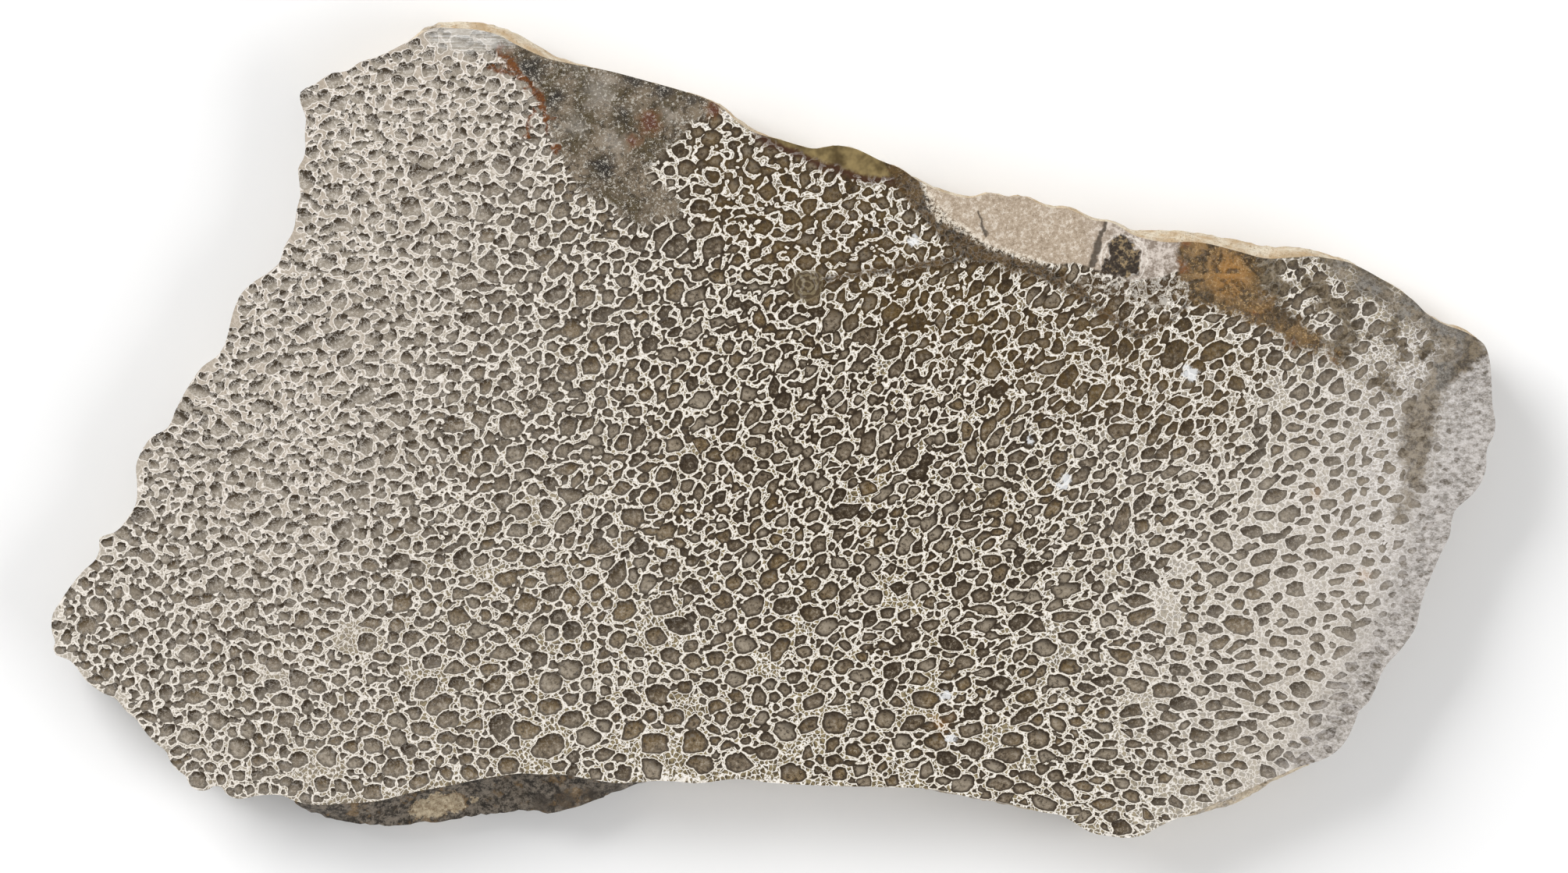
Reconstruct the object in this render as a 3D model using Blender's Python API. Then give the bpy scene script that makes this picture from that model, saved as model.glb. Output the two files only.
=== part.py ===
"""A slab sawn from agatised dinosaur bone, lying on its back face with the other sawn face up.

The slab is one natural piece: two flat parallel saw cuts, and between them a rim that was never
sawn. Part of the rim is the old weathered outside of the bone, and part of it is broken.
"""

import math

import bmesh
import bpy
from mathutils import Vector, noise

# Driving dimensions, in metres
LENGTH = 0.1484
THICKNESS = 0.0090

# The rim's rings: how far down from the face each lies, as a share of the thickness. The rim is
# widest at one of them, its crest, which wanders up and down a little as it goes round.
LEVELS = (0.0, 0.06, 0.15, 0.26, 0.37, 0.48, 0.61, 0.74, 0.87, 1.0)
CREST_LEVEL = 0.48
CREST_RANGE = (0.34, 0.62)
CREST_WANDER = 16.0

# The spacing of the sections round the rim, and how many each way its direction is measured over
SECTION_SPACING = 0.95
DIRECTION_SPAN = 5

# How the rim curves out from the edge of the face to its crest: under 1 it bulges, over 1 it is
# hollow, as where a flake came off
BULGING = 0.75
HOLLOW = 2.1
HOLLOW_LIP = 1.5

# Below the crest it draws in again, by this much at the back face, in millimetres
BACK_TUCK = (0.3, 2.0)
BACK_TUCK_LENGTH = 13.0
BACK_CURVE = 1.6

# Roughness of the rim, in millimetres: how deep each kind goes, and how long it is. The pits are
# marrow cells, broken open. The broken stretches have them in full, and a ledge that runs at a
# wandering height, in shares of the thickness down from the face.
LUMP_DEPTH = 1.1
LUMP_LENGTH = 3.6
PIT_DEPTH = 0.8
PIT_LENGTH = 2.7
LEDGE_DEPTH = 1.2
LEDGE_LENGTH = 9.0
LEDGE_RANGE = (0.3, 1.3)
LEDGE_SLOPE = 0.13
ROUGH_AT_CREST = 0.12

# The outline seen from above, clockwise, in millimetres: x, y and the lip, which is how far inside
# the outline the sawn face stops. The scallops are the walls between marrow cells, broken through.
LEFT_BREAK = (
    (-73.4, -23.3, 0.2), (-73.7, -22.7, 0.2), (-73.5, -22.0, 0.2), (-73.8, -21.0, 0.2),
    (-73.7, -18.9, 0.2), (-73.1, -17.9, 0.2), (-71.9, -16.1, 0.2), (-70.5, -14.4, 0.2),
    (-69.3, -13.3, 0.2), (-68.9, -12.2, 0.2), (-68.9, -11.1, 0.2), (-68.2, -10.8, 0.2),
    (-67.5, -10.6, 0.2), (-65.9, -8.9, 0.2), (-65.3, -7.9, 0.2), (-65.1, -5.4, 0.2),
    (-65.2, -3.8, 0.2), (-64.7, -2.4, 0.2), (-63.6, -0.8, 0.2), (-61.9, 0.2, 0.2),
    (-61.2, 1.8, 0.2), (-59.7, 4.6, 0.2), (-58.4, 6.4, 0.2), (-56.7, 7.7, 0.2),
    (-56.1, 8.7, 0.2), (-55.7, 10.1, 0.2), (-55.2, 12.1, 0.2), (-54.4, 13.9, 0.2),
    (-53.4, 14.9, 0.2), (-51.2, 16.4, 0.2), (-50.5, 17.1, 0.2), (-50.1, 18.5, 0.2),
    (-49.1, 20.3, 0.2), (-48.7, 22.6, 0.2), (-48.4, 23.8, 0.2), (-48.5, 25.5, 0.2),
    (-48.6, 26.6, 0.2), (-48.0, 27.8, 0.2), (-47.9, 30.5, 0.2), (-47.8, 31.8, 0.2),
    (-48.4, 33.8, 0.2), (-48.3, 34.6, 0.2),
)
LEFT_SHOULDER = (
    (-47.8, 35.0, 0.2), (-46.9, 35.4, 0.2), (-45.0, 36.6, 0.2), (-43.6, 36.8, 0.2),
    (-42.2, 37.7, 0.2), (-40.1, 38.4, 0.2), (-38.1, 39.5, 0.3), (-36.3, 40.7, 0.5),
    (-35.6, 41.3, 0.6), (-34.6, 41.8, 0.8),
)
OLD_SURFACE = (
    (-32.5, 42.0, 1.0), (-29.5, 41.9, 1.1), (-27.9, 41.6, 1.2), (-25.1, 40.3, 1.3),
    (-22.0, 38.6, 0.9), (-19.9, 37.8, 0.5), (-16.3, 36.9, 0.3), (-12.2, 35.8, 0.3),
    (-8.3, 34.7, 0.3), (-6.5, 34.1, 0.3), (-5.1, 33.5, 0.4), (-2.7, 31.7, 0.7),
    (-1.7, 31.0, 0.6), (1.1, 29.9, 0.3), (2.7, 29.4, 0.3), (4.3, 29.0, 0.3),
    (7.0, 29.3, 0.3), (8.6, 29.0, 0.3), (11.7, 27.6, 0.3), (13.3, 27.0, 0.3),
    (15.1, 25.9, 0.4), (18.7, 24.5, 0.6), (20.5, 24.1, 0.5), (22.6, 24.5, 0.4),
    (24.0, 24.2, 0.4), (25.9, 24.2, 0.4), (28.7, 23.1, 0.5), (30.5, 23.0, 0.5),
    (33.3, 21.8, 0.5), (35.1, 21.6, 0.5), (37.2, 20.7, 0.8), (40.0, 20.6, 1.5),
    (44.0, 20.3, 1.2), (47.9, 19.6, 1.4), (51.0, 18.9, 1.5), (53.8, 18.8, 1.3),
    (56.0, 18.6, 1.0), (57.5, 18.1, 0.7), (59.4, 17.5, 0.5), (60.6, 16.9, 0.4),
    (62.4, 15.9, 0.4), (65.2, 14.2, 0.4), (66.4, 13.2, 0.4), (67.5, 12.1, 0.4),
    (68.9, 11.3, 0.5), (71.6, 10.3, 0.6), (72.7, 9.5, 0.4), (73.4, 8.8, 0.3),
)
RIGHT_BREAK = (
    (73.8, 7.6, 0.2), (74.1, 4.9, 0.2), (74.2, 2.5, 0.2), (74.5, 0.1, 0.2),
    (74.3, -0.8, 0.2), (73.7, -2.0, 0.2), (73.5, -4.4, 0.2), (73.0, -5.7, 0.2),
    (72.2, -6.8, 0.2), (71.2, -7.7, 0.2), (70.3, -8.6, 0.2), (70.0, -9.7, 0.2),
    (69.8, -11.1, 0.2), (69.1, -12.5, 0.2), (68.1, -14.8, 0.2), (67.0, -17.7, 0.2),
    (66.7, -18.9, 0.2), (66.5, -20.0, 0.2), (65.0, -22.5, 0.2), (63.1, -24.7, 0.2),
    (62.0, -27.2, 0.2), (61.4, -28.3, 0.2), (60.5, -29.1, 0.2), (60.1, -30.2, 0.2),
    (58.9, -32.5, 0.2), (57.9, -33.5, 0.2), (56.8, -34.2, 0.3),
)
LOWER_EDGE = (
    (54.3, -35.2, 0.5), (51.4, -36.7, 0.7), (48.5, -38.4, 1.1), (46.4, -39.3, 1.2),
    (43.9, -39.9, 0.6), (41.3, -40.5, 0.3), (39.8, -41.1, 0.2), (38.3, -41.9, 0.2),
    (36.5, -42.2, 0.2), (34.7, -42.0, 0.2), (33.0, -41.7, 0.2), (31.8, -41.1, 0.2),
    (29.8, -40.0, 0.3), (28.0, -39.8, 0.4), (24.4, -39.0, 0.5), (20.3, -38.2, 0.4),
    (16.5, -37.4, 0.4), (11.9, -37.0, 0.2), (7.5, -36.9, 0.2), (2.4, -36.7, 0.2),
    (-0.4, -36.5, 0.2), (-2.4, -36.2, 0.2), (-4.2, -36.2, 0.2), (-5.8, -36.5, 0.3),
    (-7.5, -36.7, 0.3), (-9.7, -36.5, 0.3), (-12.2, -36.5, 0.3),
)
FLAKE_SCAR = (
    (-14.0, -36.9, 0.6), (-15.4, -37.4, 1.0), (-17.1, -38.1, 2.1), (-19.0, -38.8, 3.3),
    (-20.7, -39.3, 3.9), (-22.4, -39.8, 4.4), (-25.4, -39.6, 4.2), (-29.2, -40.1, 4.2),
    (-32.8, -40.5, 3.8), (-36.5, -40.9, 3.6), (-40.2, -41.1, 2.9), (-44.1, -40.5, 2.1),
    (-46.3, -40.1, 1.6), (-47.8, -39.5, 1.0), (-48.9, -38.8, 0.6), (-50.0, -38.0, 0.3),
)
LOWER_LEFT_BREAK = (
    (-50.9, -37.8, 0.2), (-52.2, -37.9, 0.3), (-55.0, -38.2, 0.3), (-55.8, -37.7, 0.2),
    (-56.3, -37.0, 0.2), (-57.2, -36.9, 0.2), (-57.6, -37.2, 0.2), (-58.7, -37.3, 0.2),
    (-59.6, -36.8, 0.2), (-60.0, -35.9, 0.2), (-61.0, -35.1, 0.2), (-61.7, -34.2, 0.2),
    (-62.0, -33.4, 0.2), (-63.3, -32.3, 0.2), (-64.7, -30.6, 0.2), (-65.1, -30.0, 0.2),
    (-66.0, -29.3, 0.2), (-67.4, -27.8, 0.2), (-68.5, -27.4, 0.3), (-70.4, -26.0, 0.3),
    (-71.4, -24.5, 0.2), (-72.0, -23.9, 0.2), (-73.0, -23.5, 0.2),
)

# Each stretch, with how much of the full pitting it has: little where the bone's outer wall is
# dense or the old surface is worn smooth
STRETCHES = (
    (LEFT_BREAK, 1.0),
    (LEFT_SHOULDER, 0.9),
    (OLD_SURFACE, 0.25),
    (RIGHT_BREAK, 0.4),
    (LOWER_EDGE, 0.8),
    (FLAKE_SCAR, 0.5),
    (LOWER_LEFT_BREAK, 1.0),
)

# The stone's finish
STONE_COLOUR = (0.45, 0.39, 0.31, 1.0)
STONE_ROUGHNESS = 0.55
SHARP_ANGLE = math.radians(30)


def clear_scene():
    for obj in list(bpy.data.objects):
        bpy.data.objects.remove(obj, do_unlink=True)


def outline():
    """The stretches joined into one closed line of x, y, lip and pitting."""
    return [Vector((*point, pitting)) for points, pitting in STRETCHES for point in points]


def smooth_closed_curve(points, spacing):
    """Points about spacing apart on a smooth closed curve through the given ones."""
    count = len(points)
    gaps = [(points[(i + 1) % count] - points[i]).xy.length for i in range(count)]
    slopes = []
    for i in range(count):
        before, after = gaps[i - 1], gaps[i]
        arriving = (points[i] - points[i - 1]) / before
        leaving = (points[(i + 1) % count] - points[i]) / after
        slopes.append((arriving * after + leaving * before) / (before + after))
    curve = []
    for i in range(count):
        start, end = points[i], points[(i + 1) % count]
        slope_out, slope_in = slopes[i] * gaps[i], slopes[(i + 1) % count] * gaps[i]
        steps = max(1, round(gaps[i] / spacing))
        for step in range(steps):
            t = step / steps
            curve.append(
                start * (2 * t**3 - 3 * t**2 + 1)
                + slope_out * (t**3 - 2 * t**2 + t)
                + end * (3 * t**2 - 2 * t**3)
                + slope_in * (t**3 - t**2)
            )
    return curve


def outward_directions(curve):
    """The level direction away from the stone at each point of a clockwise curve."""
    count = len(curve)
    directions = []
    for i in range(count):
        along = curve[(i + DIRECTION_SPAN) % count] - curve[i - DIRECTION_SPAN]
        directions.append(Vector((-along.y, along.x, 0.0)).normalized())
    return directions


def between(limits, share):
    """The value this share of the way from the lower limit to the upper one."""
    low, high = limits
    return low + (high - low) * min(1.0, max(0.0, share))


def wander(x, y, length):
    """A value from 0 to 1 that changes slowly over the stone."""
    return 0.5 + noise.noise(Vector((x / length, y / length, 0.0)))


def lump(place):
    """How deep the rim is dented at a place, from 0 to 1."""
    return min(1.0, max(0.0, 0.5 + noise.noise(place / LUMP_LENGTH)))


def pit(place):
    """How deep a broken marrow cell is at a place, from 0 on the walls between cells to 1."""
    distances, _ = noise.voronoi(place / PIT_LENGTH)
    return min(1.0, 2.0 * (distances[1] - distances[0]))


def ledge(x, y, depth):
    """How far the rim has stepped in at a depth, from 0 above its ledge to 1 below it."""
    start = between(LEDGE_RANGE, wander(x, y, LEDGE_LENGTH))
    return between((0.0, 1.0), (depth - start) / LEDGE_SLOPE)


def rim_reach(lip, down):
    """How far the smooth rim lies from the outline at a level, in millimetres, negative inwards."""
    hollow = (lip - HOLLOW_LIP) / HOLLOW_LIP
    return lip * ((down / CREST_LEVEL) ** between((BULGING, HOLLOW), hollow) - 1)


def rim_section(point, down):
    """The place on the outline's own section at a level, and how far out the rim lies from it."""
    x, y, lip, pitting = point
    crest = between(CREST_RANGE, wander(x, y, CREST_WANDER))
    if down <= CREST_LEVEL:
        away = 1 - down / CREST_LEVEL
        depth = crest * (1 - away)
        reach = rim_reach(lip, down)
    else:
        away = (down - CREST_LEVEL) / (1 - CREST_LEVEL)
        depth = crest + (1 - crest) * away
        reach = -between(BACK_TUCK, wander(x, y, BACK_TUCK_LENGTH)) * away**BACK_CURVE
    place = Vector((x, y, THICKNESS * 1000 * (1 - depth)))
    if down > 0.0:
        broken = PIT_DEPTH * pit(place) + LEDGE_DEPTH * ledge(x, y, depth)
        rough = LUMP_DEPTH * lump(place) + pitting * broken
        reach -= rough * between((ROUGH_AT_CREST, 1.0), away)
    return place, reach


def rim_ring(curve, directions, down):
    """The rim's points at a level, eased along it so that no ridge is as thin as one section."""
    places, reaches = zip(*[rim_section(point, down) for point in curve])
    ring = []
    for i in range(len(curve)):
        eased = (reaches[i - 1] + 2 * reaches[i] + reaches[(i + 1) % len(curve)]) / 4
        ring.append(places[i] + directions[i] * eased)
    return ring


def slab_mesh():
    """The slab as rings of points down the rim, with a flat face closing each end."""
    curve = smooth_closed_curve(outline(), SECTION_SPACING)
    directions = outward_directions(curve)
    rings = [rim_ring(curve, directions, down) for down in LEVELS]

    xs = [place.x for ring in rings for place in ring]
    ys = [place.y for ring in rings for place in ring]
    middle = Vector(((max(xs) + min(xs)) / 2, (max(ys) + min(ys)) / 2, 0.0))
    level_scale = LENGTH / (max(xs) - min(xs))
    scale = Vector((level_scale, level_scale, 0.001))

    bm = bmesh.new()
    rows = [[bm.verts.new((place - middle) * scale) for place in ring] for ring in rings]
    for upper, lower in zip(rows, rows[1:]):
        for i in range(len(upper)):
            bm.faces.new((upper[i - 1], upper[i], lower[i], lower[i - 1]))
    bm.faces.new(reversed(rows[0]))
    bm.faces.new(rows[-1])
    bmesh.ops.recalc_face_normals(bm, faces=bm.faces)
    mesh = bpy.data.meshes.new("bone_slab")
    bm.to_mesh(mesh)
    bm.free()
    return mesh


def stone_material():
    material = bpy.data.materials.new("fossil_bone")
    material.use_nodes = True
    shader = material.node_tree.nodes["Principled BSDF"]
    shader.inputs["Base Color"].default_value = STONE_COLOUR
    shader.inputs["Roughness"].default_value = STONE_ROUGHNESS
    shader.inputs["Metallic"].default_value = 0.0
    return material


def make_slab():
    clear_scene()
    collection = bpy.data.collections.new("dinosaur_bone_slab")
    bpy.context.scene.collection.children.link(collection)
    mesh = slab_mesh()
    mesh.materials.append(stone_material())
    mesh.shade_smooth()
    mesh.set_sharp_from_angle(angle=SHARP_ANGLE)
    slab = bpy.data.objects.new("bone_slab", mesh)
    collection.objects.link(slab)


make_slab()
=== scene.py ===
# %% [markdown]
# # A sawn slab of fossil bone
#
# The real object is a slice of dinosaur bone that has turned to agate. A diamond saw cut its two
# flat faces, so each face shows the marrow cells of the bone in section: dark agate that filled
# the cells, and between them pale walls of bone. The rim was never sawn. Part of it is the old
# outside of the bone, with a tan skin, and part is a fresh break.
#
# The lesson makes the slab as one closed mesh. The marrow pattern is computed as real geometry of
# flat triangles, so the paint can follow each single cell, and the rim gets its relief from
# Geometry Nodes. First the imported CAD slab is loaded. It gives the place and the size.

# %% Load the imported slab
import math

import bpy
import numpy as np
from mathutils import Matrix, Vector, noise
from mathutils.geometry import delaunay_2d_cdt


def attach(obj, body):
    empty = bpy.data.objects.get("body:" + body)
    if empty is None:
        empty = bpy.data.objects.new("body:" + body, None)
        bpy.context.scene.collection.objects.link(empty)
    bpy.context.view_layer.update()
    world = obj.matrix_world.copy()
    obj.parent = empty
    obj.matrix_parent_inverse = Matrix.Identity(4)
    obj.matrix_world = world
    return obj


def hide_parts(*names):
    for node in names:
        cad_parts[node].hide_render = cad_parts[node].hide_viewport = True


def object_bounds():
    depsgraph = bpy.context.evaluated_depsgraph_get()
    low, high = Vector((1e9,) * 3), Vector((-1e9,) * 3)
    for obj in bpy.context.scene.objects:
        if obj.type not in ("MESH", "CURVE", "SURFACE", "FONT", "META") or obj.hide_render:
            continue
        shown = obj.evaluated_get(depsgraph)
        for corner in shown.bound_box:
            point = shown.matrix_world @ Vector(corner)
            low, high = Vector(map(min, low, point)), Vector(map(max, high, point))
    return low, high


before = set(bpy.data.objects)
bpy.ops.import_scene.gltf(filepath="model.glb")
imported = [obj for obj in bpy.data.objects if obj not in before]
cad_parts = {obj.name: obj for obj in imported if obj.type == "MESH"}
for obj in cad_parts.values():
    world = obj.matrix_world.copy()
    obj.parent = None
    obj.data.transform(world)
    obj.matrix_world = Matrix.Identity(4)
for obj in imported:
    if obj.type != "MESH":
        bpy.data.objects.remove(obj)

cad_low, cad_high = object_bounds()
THICKNESS = 1000 * (cad_high.z - cad_low.z)
print("The packed slab measures", [round(1000 * side, 1) for side in cad_high - cad_low], "mm")

# %% [markdown]
# ## The outline
#
# An irregular natural outline has no rule behind it, so it is drawn: points go clockwise round
# the stone, in millimetres, as x, y and the lip. The lip says how far inside the outline the sawn
# face stops, because the old surface curves out a little below the saw cut. Where it is left out,
# it is the usual one. The outline comes in stretches, since each has its own kind of surface: with
# how much of the full pitting it has, and how much tan skin.

# %% Draw the outline in stretches
LEFT_BREAK = (
    (-73.4, -23.3), (-73.7, -22.7), (-73.5, -22.0), (-73.8, -21.0), (-73.7, -18.9), (-73.1, -17.9),
    (-71.9, -16.1), (-70.5, -14.4), (-69.3, -13.3), (-68.9, -12.2), (-68.9, -11.1), (-68.2, -10.8),
    (-67.5, -10.6), (-65.9, -8.9), (-65.3, -7.9), (-65.1, -5.4), (-65.2, -3.8), (-64.7, -2.4),
    (-63.6, -0.8), (-61.9, 0.2), (-61.2, 1.8), (-59.7, 4.6), (-58.4, 6.4), (-56.7, 7.7),
    (-56.1, 8.7), (-55.7, 10.1), (-55.2, 12.1), (-54.4, 13.9), (-53.4, 14.9), (-51.2, 16.4),
    (-50.5, 17.1), (-50.1, 18.5), (-49.1, 20.3), (-48.7, 22.6), (-48.4, 23.8), (-48.5, 25.5),
    (-48.6, 26.6), (-48.0, 27.8), (-47.9, 30.5), (-47.8, 31.8), (-48.4, 33.8), (-48.3, 34.6),
)
LEFT_SHOULDER = (
    (-47.8, 35.0), (-46.9, 35.4), (-45.0, 36.6), (-43.6, 36.8), (-42.2, 37.7), (-40.1, 38.4),
    (-38.1, 39.5, 0.3), (-36.3, 40.7, 0.5), (-35.6, 41.3, 0.6), (-34.6, 41.8, 0.8),
)
OLD_SURFACE = (
    (-32.5, 42.0, 1.0), (-29.5, 41.9, 1.1), (-27.9, 41.6, 1.2), (-25.1, 40.3, 1.3),
    (-22.0, 38.6, 0.9), (-19.9, 37.8, 0.5), (-16.3, 36.9, 0.3), (-12.2, 35.8, 0.3),
    (-8.3, 34.7, 0.3), (-6.5, 34.1, 0.3), (-5.1, 33.5, 0.4), (-2.7, 31.7, 0.7), (-1.7, 31.0, 0.6),
    (1.1, 29.9, 0.3), (2.7, 29.4, 0.3), (4.3, 29.0, 0.3), (7.0, 29.3, 0.3), (8.6, 29.0, 0.3),
    (11.7, 27.6, 0.3), (13.3, 27.0, 0.3), (15.1, 25.9, 0.4), (18.7, 24.5, 0.6), (20.5, 24.1, 0.5),
    (22.6, 24.5, 0.4), (24.0, 24.2, 0.4), (25.9, 24.2, 0.4), (28.7, 23.1, 0.5), (30.5, 23.0, 0.5),
    (33.3, 21.8, 0.5), (35.1, 21.6, 0.5), (37.2, 20.7, 0.8), (40.0, 20.6, 1.5), (44.0, 20.3, 1.2),
    (47.9, 19.6, 1.4), (51.0, 18.9, 1.5), (53.8, 18.8, 1.3), (56.0, 18.6, 1.0), (57.5, 18.1, 0.7),
    (59.4, 17.5, 0.5), (60.6, 16.9, 0.4), (62.4, 15.9, 0.4), (65.2, 14.2, 0.4), (66.4, 13.2, 0.4),
    (67.5, 12.1, 0.4), (68.9, 11.3, 0.5), (71.6, 10.3, 0.6), (72.7, 9.5, 0.4), (73.4, 8.8, 0.3),
)
RIGHT_BREAK = (
    (73.8, 7.6), (74.1, 4.9), (74.2, 2.5), (74.5, 0.1), (74.3, -0.8), (73.7, -2.0), (73.5, -4.4),
    (73.0, -5.7), (72.2, -6.8), (71.2, -7.7), (70.3, -8.6), (70.0, -9.7), (69.8, -11.1),
    (69.1, -12.5), (68.1, -14.8), (67.0, -17.7), (66.7, -18.9), (66.5, -20.0), (65.0, -22.5),
    (63.1, -24.7), (62.0, -27.2), (61.4, -28.3), (60.5, -29.1), (60.1, -30.2), (58.9, -32.5),
    (57.9, -33.5), (56.8, -34.2, 0.3),
)
LOWER_EDGE = (
    (54.3, -35.2, 0.5), (51.4, -36.7, 0.7), (48.5, -38.4, 1.1), (46.4, -39.3, 1.2),
    (43.9, -39.9, 0.6), (41.3, -40.5, 0.3), (39.8, -41.1), (38.3, -41.9), (36.5, -42.2),
    (34.7, -42.0), (33.0, -41.7), (31.8, -41.1), (29.8, -40.0, 0.3), (28.0, -39.8, 0.4),
    (24.4, -39.0, 0.5), (20.3, -38.2, 0.4), (16.5, -37.4, 0.4), (11.9, -37.0), (7.5, -36.9),
    (2.4, -36.7), (-0.4, -36.5), (-2.4, -36.2), (-4.2, -36.2), (-5.8, -36.5, 0.3),
    (-7.5, -36.7, 0.3), (-9.7, -36.5, 0.3), (-12.2, -36.5, 0.3),
)
FLAKE_SCAR = (
    (-14.0, -36.9, 0.6), (-15.4, -37.4, 1.0), (-17.1, -38.1, 2.1), (-19.0, -38.8, 3.3),
    (-20.7, -39.3, 3.9), (-22.4, -39.8, 4.4), (-25.4, -39.6, 4.2), (-29.2, -40.1, 4.2),
    (-32.8, -40.5, 3.8), (-36.5, -40.9, 3.6), (-40.2, -41.1, 2.9), (-44.1, -40.5, 2.1),
    (-46.3, -40.1, 1.6), (-47.8, -39.5, 1.0), (-48.9, -38.8, 0.6), (-50.0, -38.0, 0.3),
)
LOWER_LEFT_BREAK = (
    (-50.9, -37.8), (-52.2, -37.9, 0.3), (-55.0, -38.2, 0.3), (-55.8, -37.7), (-56.3, -37.0),
    (-57.2, -36.9), (-57.6, -37.2), (-58.7, -37.3), (-59.6, -36.8), (-60.0, -35.9), (-61.0, -35.1),
    (-61.7, -34.2), (-62.0, -33.4), (-63.3, -32.3), (-64.7, -30.6), (-65.1, -30.0), (-66.0, -29.3),
    (-67.4, -27.8), (-68.5, -27.4, 0.3), (-70.4, -26.0, 0.3), (-71.4, -24.5), (-72.0, -23.9),
    (-73.0, -23.5),
)
# The stretch, its pitting, its tan skin and its grey matrix
STRETCHES = (
    (LEFT_BREAK, 1.0, 0.25, 0.0),
    (LEFT_SHOULDER, 0.9, 0.5, 0.0),
    (OLD_SURFACE, 0.25, 1.0, 0.0),
    (RIGHT_BREAK, 0.4, 0.2, 0.0),
    (LOWER_EDGE, 0.8, 0.5, 0.0),
    (FLAKE_SCAR, 0.5, 0.1, 1.0),
    (LOWER_LEFT_BREAK, 1.0, 0.2, 0.0),
)
USUAL_LIP = 0.2
outline = np.array([
    (*(*point, USUAL_LIP)[:3], *kind) for points, *kind in STRETCHES for point in points])
print(len(outline), "outline points in", len(STRETCHES), "stretches")

# %% [markdown]
# A smooth curve through the drawn points keeps the scallops of the broken edge without corners.
# A Bézier curve object could do this too, but a few lines of arithmetic carry the lip, the pitting
# and the skin along with the place. Each span is a cubic whose slope at a point is shared with
# the span before it.

# %% Run a smooth closed curve through the points
SECTION_SPACING = 0.5


def closed_curve(knots, spacing):
    ahead = np.roll(knots, -1, axis=0)
    gap = np.hypot(*(ahead - knots)[:, :2].T)[:, None]
    gap_before = np.roll(gap, 1, axis=0)
    leaving = (ahead - knots) / gap
    arriving = np.roll(leaving, 1, axis=0)
    slope = (arriving * gap + leaving * gap_before) / (gap + gap_before)
    slope_ahead = np.roll(slope, -1, axis=0)
    spans = []
    for i in range(len(knots)):
        steps = max(1, round(gap[i, 0] / spacing))
        t = (np.arange(steps) / steps)[:, None]
        spans.append(
            knots[i] * (2 * t**3 - 3 * t**2 + 1)
            + slope[i] * gap[i] * (t**3 - 2 * t**2 + t)
            + ahead[i] * (3 * t**2 - 2 * t**3)
            + slope_ahead[i] * gap[i] * (t**3 - t**2)
        )
    return np.vstack(spans)


curve = closed_curve(outline, SECTION_SPACING)
around = len(curve)
print(around, "sections round the rim")

# %% [markdown]
# ## The rim
#
# At each section the rim runs down from the edge of the upper face, out to a crest, and in again
# towards the back face. Where a flake came off, the upper part is hollow instead of round. On top
# of that come broad dents, marrow cells that the break opened, and a ledge where a layer of stone
# broke away. Sculpting by hand would also do, but with functions the same rim can be made again
# at any fineness, and it agrees with the solid that the physics uses.

# %% Shape the sections of the rim
# Levels go from 0 at the upper face to 1 at the back face. A wander is the length in millimetres
# over which a value drifts along the rim.
LEVELS = (0.0, 0.03, 0.06, 0.1, 0.15, 0.2, 0.26, 0.32, 0.37, 0.42, 0.48, 0.54, 0.6, 0.66, 0.72,
          0.78, 0.84, 0.9, 0.95, 1.0)
# The level of the crest, and between which shares of the thickness it really lies
CREST_LEVEL, CREST_RANGE, CREST_WANDER = 0.48, (0.34, 0.62), 16.0
# How the upper part curves: below 1 it bulges, above 1 it is hollow, as under a wide lip
BULGING_TO_HOLLOW, HOLLOW_LIP = (0.75, 2.1), 1.5
# How far the lower part tucks in
TUCK_RANGE, TUCK_WANDER, TUCK_CURVE = (0.3, 2.0), 13.0, 1.6
# Dents, opened cells and the ledge: how deep they are and how long
DENT_DEPTH, DENT_LENGTH = 1.1, 3.6
PIT_DEPTH, PIT_LENGTH = 0.8, 2.7
LEDGE_DEPTH, LEDGE_RANGE, LEDGE_WANDER, LEDGE_SLOPE = 1.2, (0.3, 1.3), 9.0, 0.13
# The share of this roughness at the crest and at the two faces
ROUGHNESS_FROM_CREST = (0.12, 1.0)


def between(limits, share):
    low, high = limits
    return low + (high - low) * min(1.0, max(0.0, share))


def wander(x, y, length):
    return 0.5 + noise.noise(Vector((x / length, y / length, 0.0)))


def broken_depth(place, depth, pitting):
    """How deep the rim is dented at a place, in millimetres."""
    dent = DENT_DEPTH * min(1.0, max(0.0, 0.5 + noise.noise(place / DENT_LENGTH)))
    distances, _ = noise.voronoi(place / PIT_LENGTH)
    pit = PIT_DEPTH * min(1.0, 2.0 * (distances[1] - distances[0]))
    start = between(LEDGE_RANGE, wander(place.x, place.y, LEDGE_WANDER))
    ledge = LEDGE_DEPTH * between((0.0, 1.0), (depth - start) / LEDGE_SLOPE)
    return dent + pitting * (pit + ledge)


def rim_section(x, y, lip, pitting, down):
    """The depth of the rim at a level, and how far out of the outline it lies."""
    crest = between(CREST_RANGE, wander(x, y, CREST_WANDER))
    if down <= CREST_LEVEL:
        away = 1 - down / CREST_LEVEL
        depth = crest * (1 - away)
        curving = between(BULGING_TO_HOLLOW, (lip - HOLLOW_LIP) / HOLLOW_LIP)
        reach = lip * ((down / CREST_LEVEL) ** curving - 1)
    else:
        away = (down - CREST_LEVEL) / (1 - CREST_LEVEL)
        depth = crest + (1 - crest) * away
        reach = -between(TUCK_RANGE, wander(x, y, TUCK_WANDER)) * away**TUCK_CURVE
    if down > 0.0:
        place = Vector((x, y, THICKNESS * (1 - depth)))
        reach -= broken_depth(place, depth, pitting) * between(ROUGHNESS_FROM_CREST, away)
    return depth, reach


# %% [markdown]
# The sections are taken level by level, as rings round the stone. Each ring is eased along its
# length, so that no single section stands out.

# %% Stack the rings of the rim
# The direction of the rim is taken over this many sections to each side
DIRECTION_SPAN = 10
EASING_ROUNDS = 5

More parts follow.
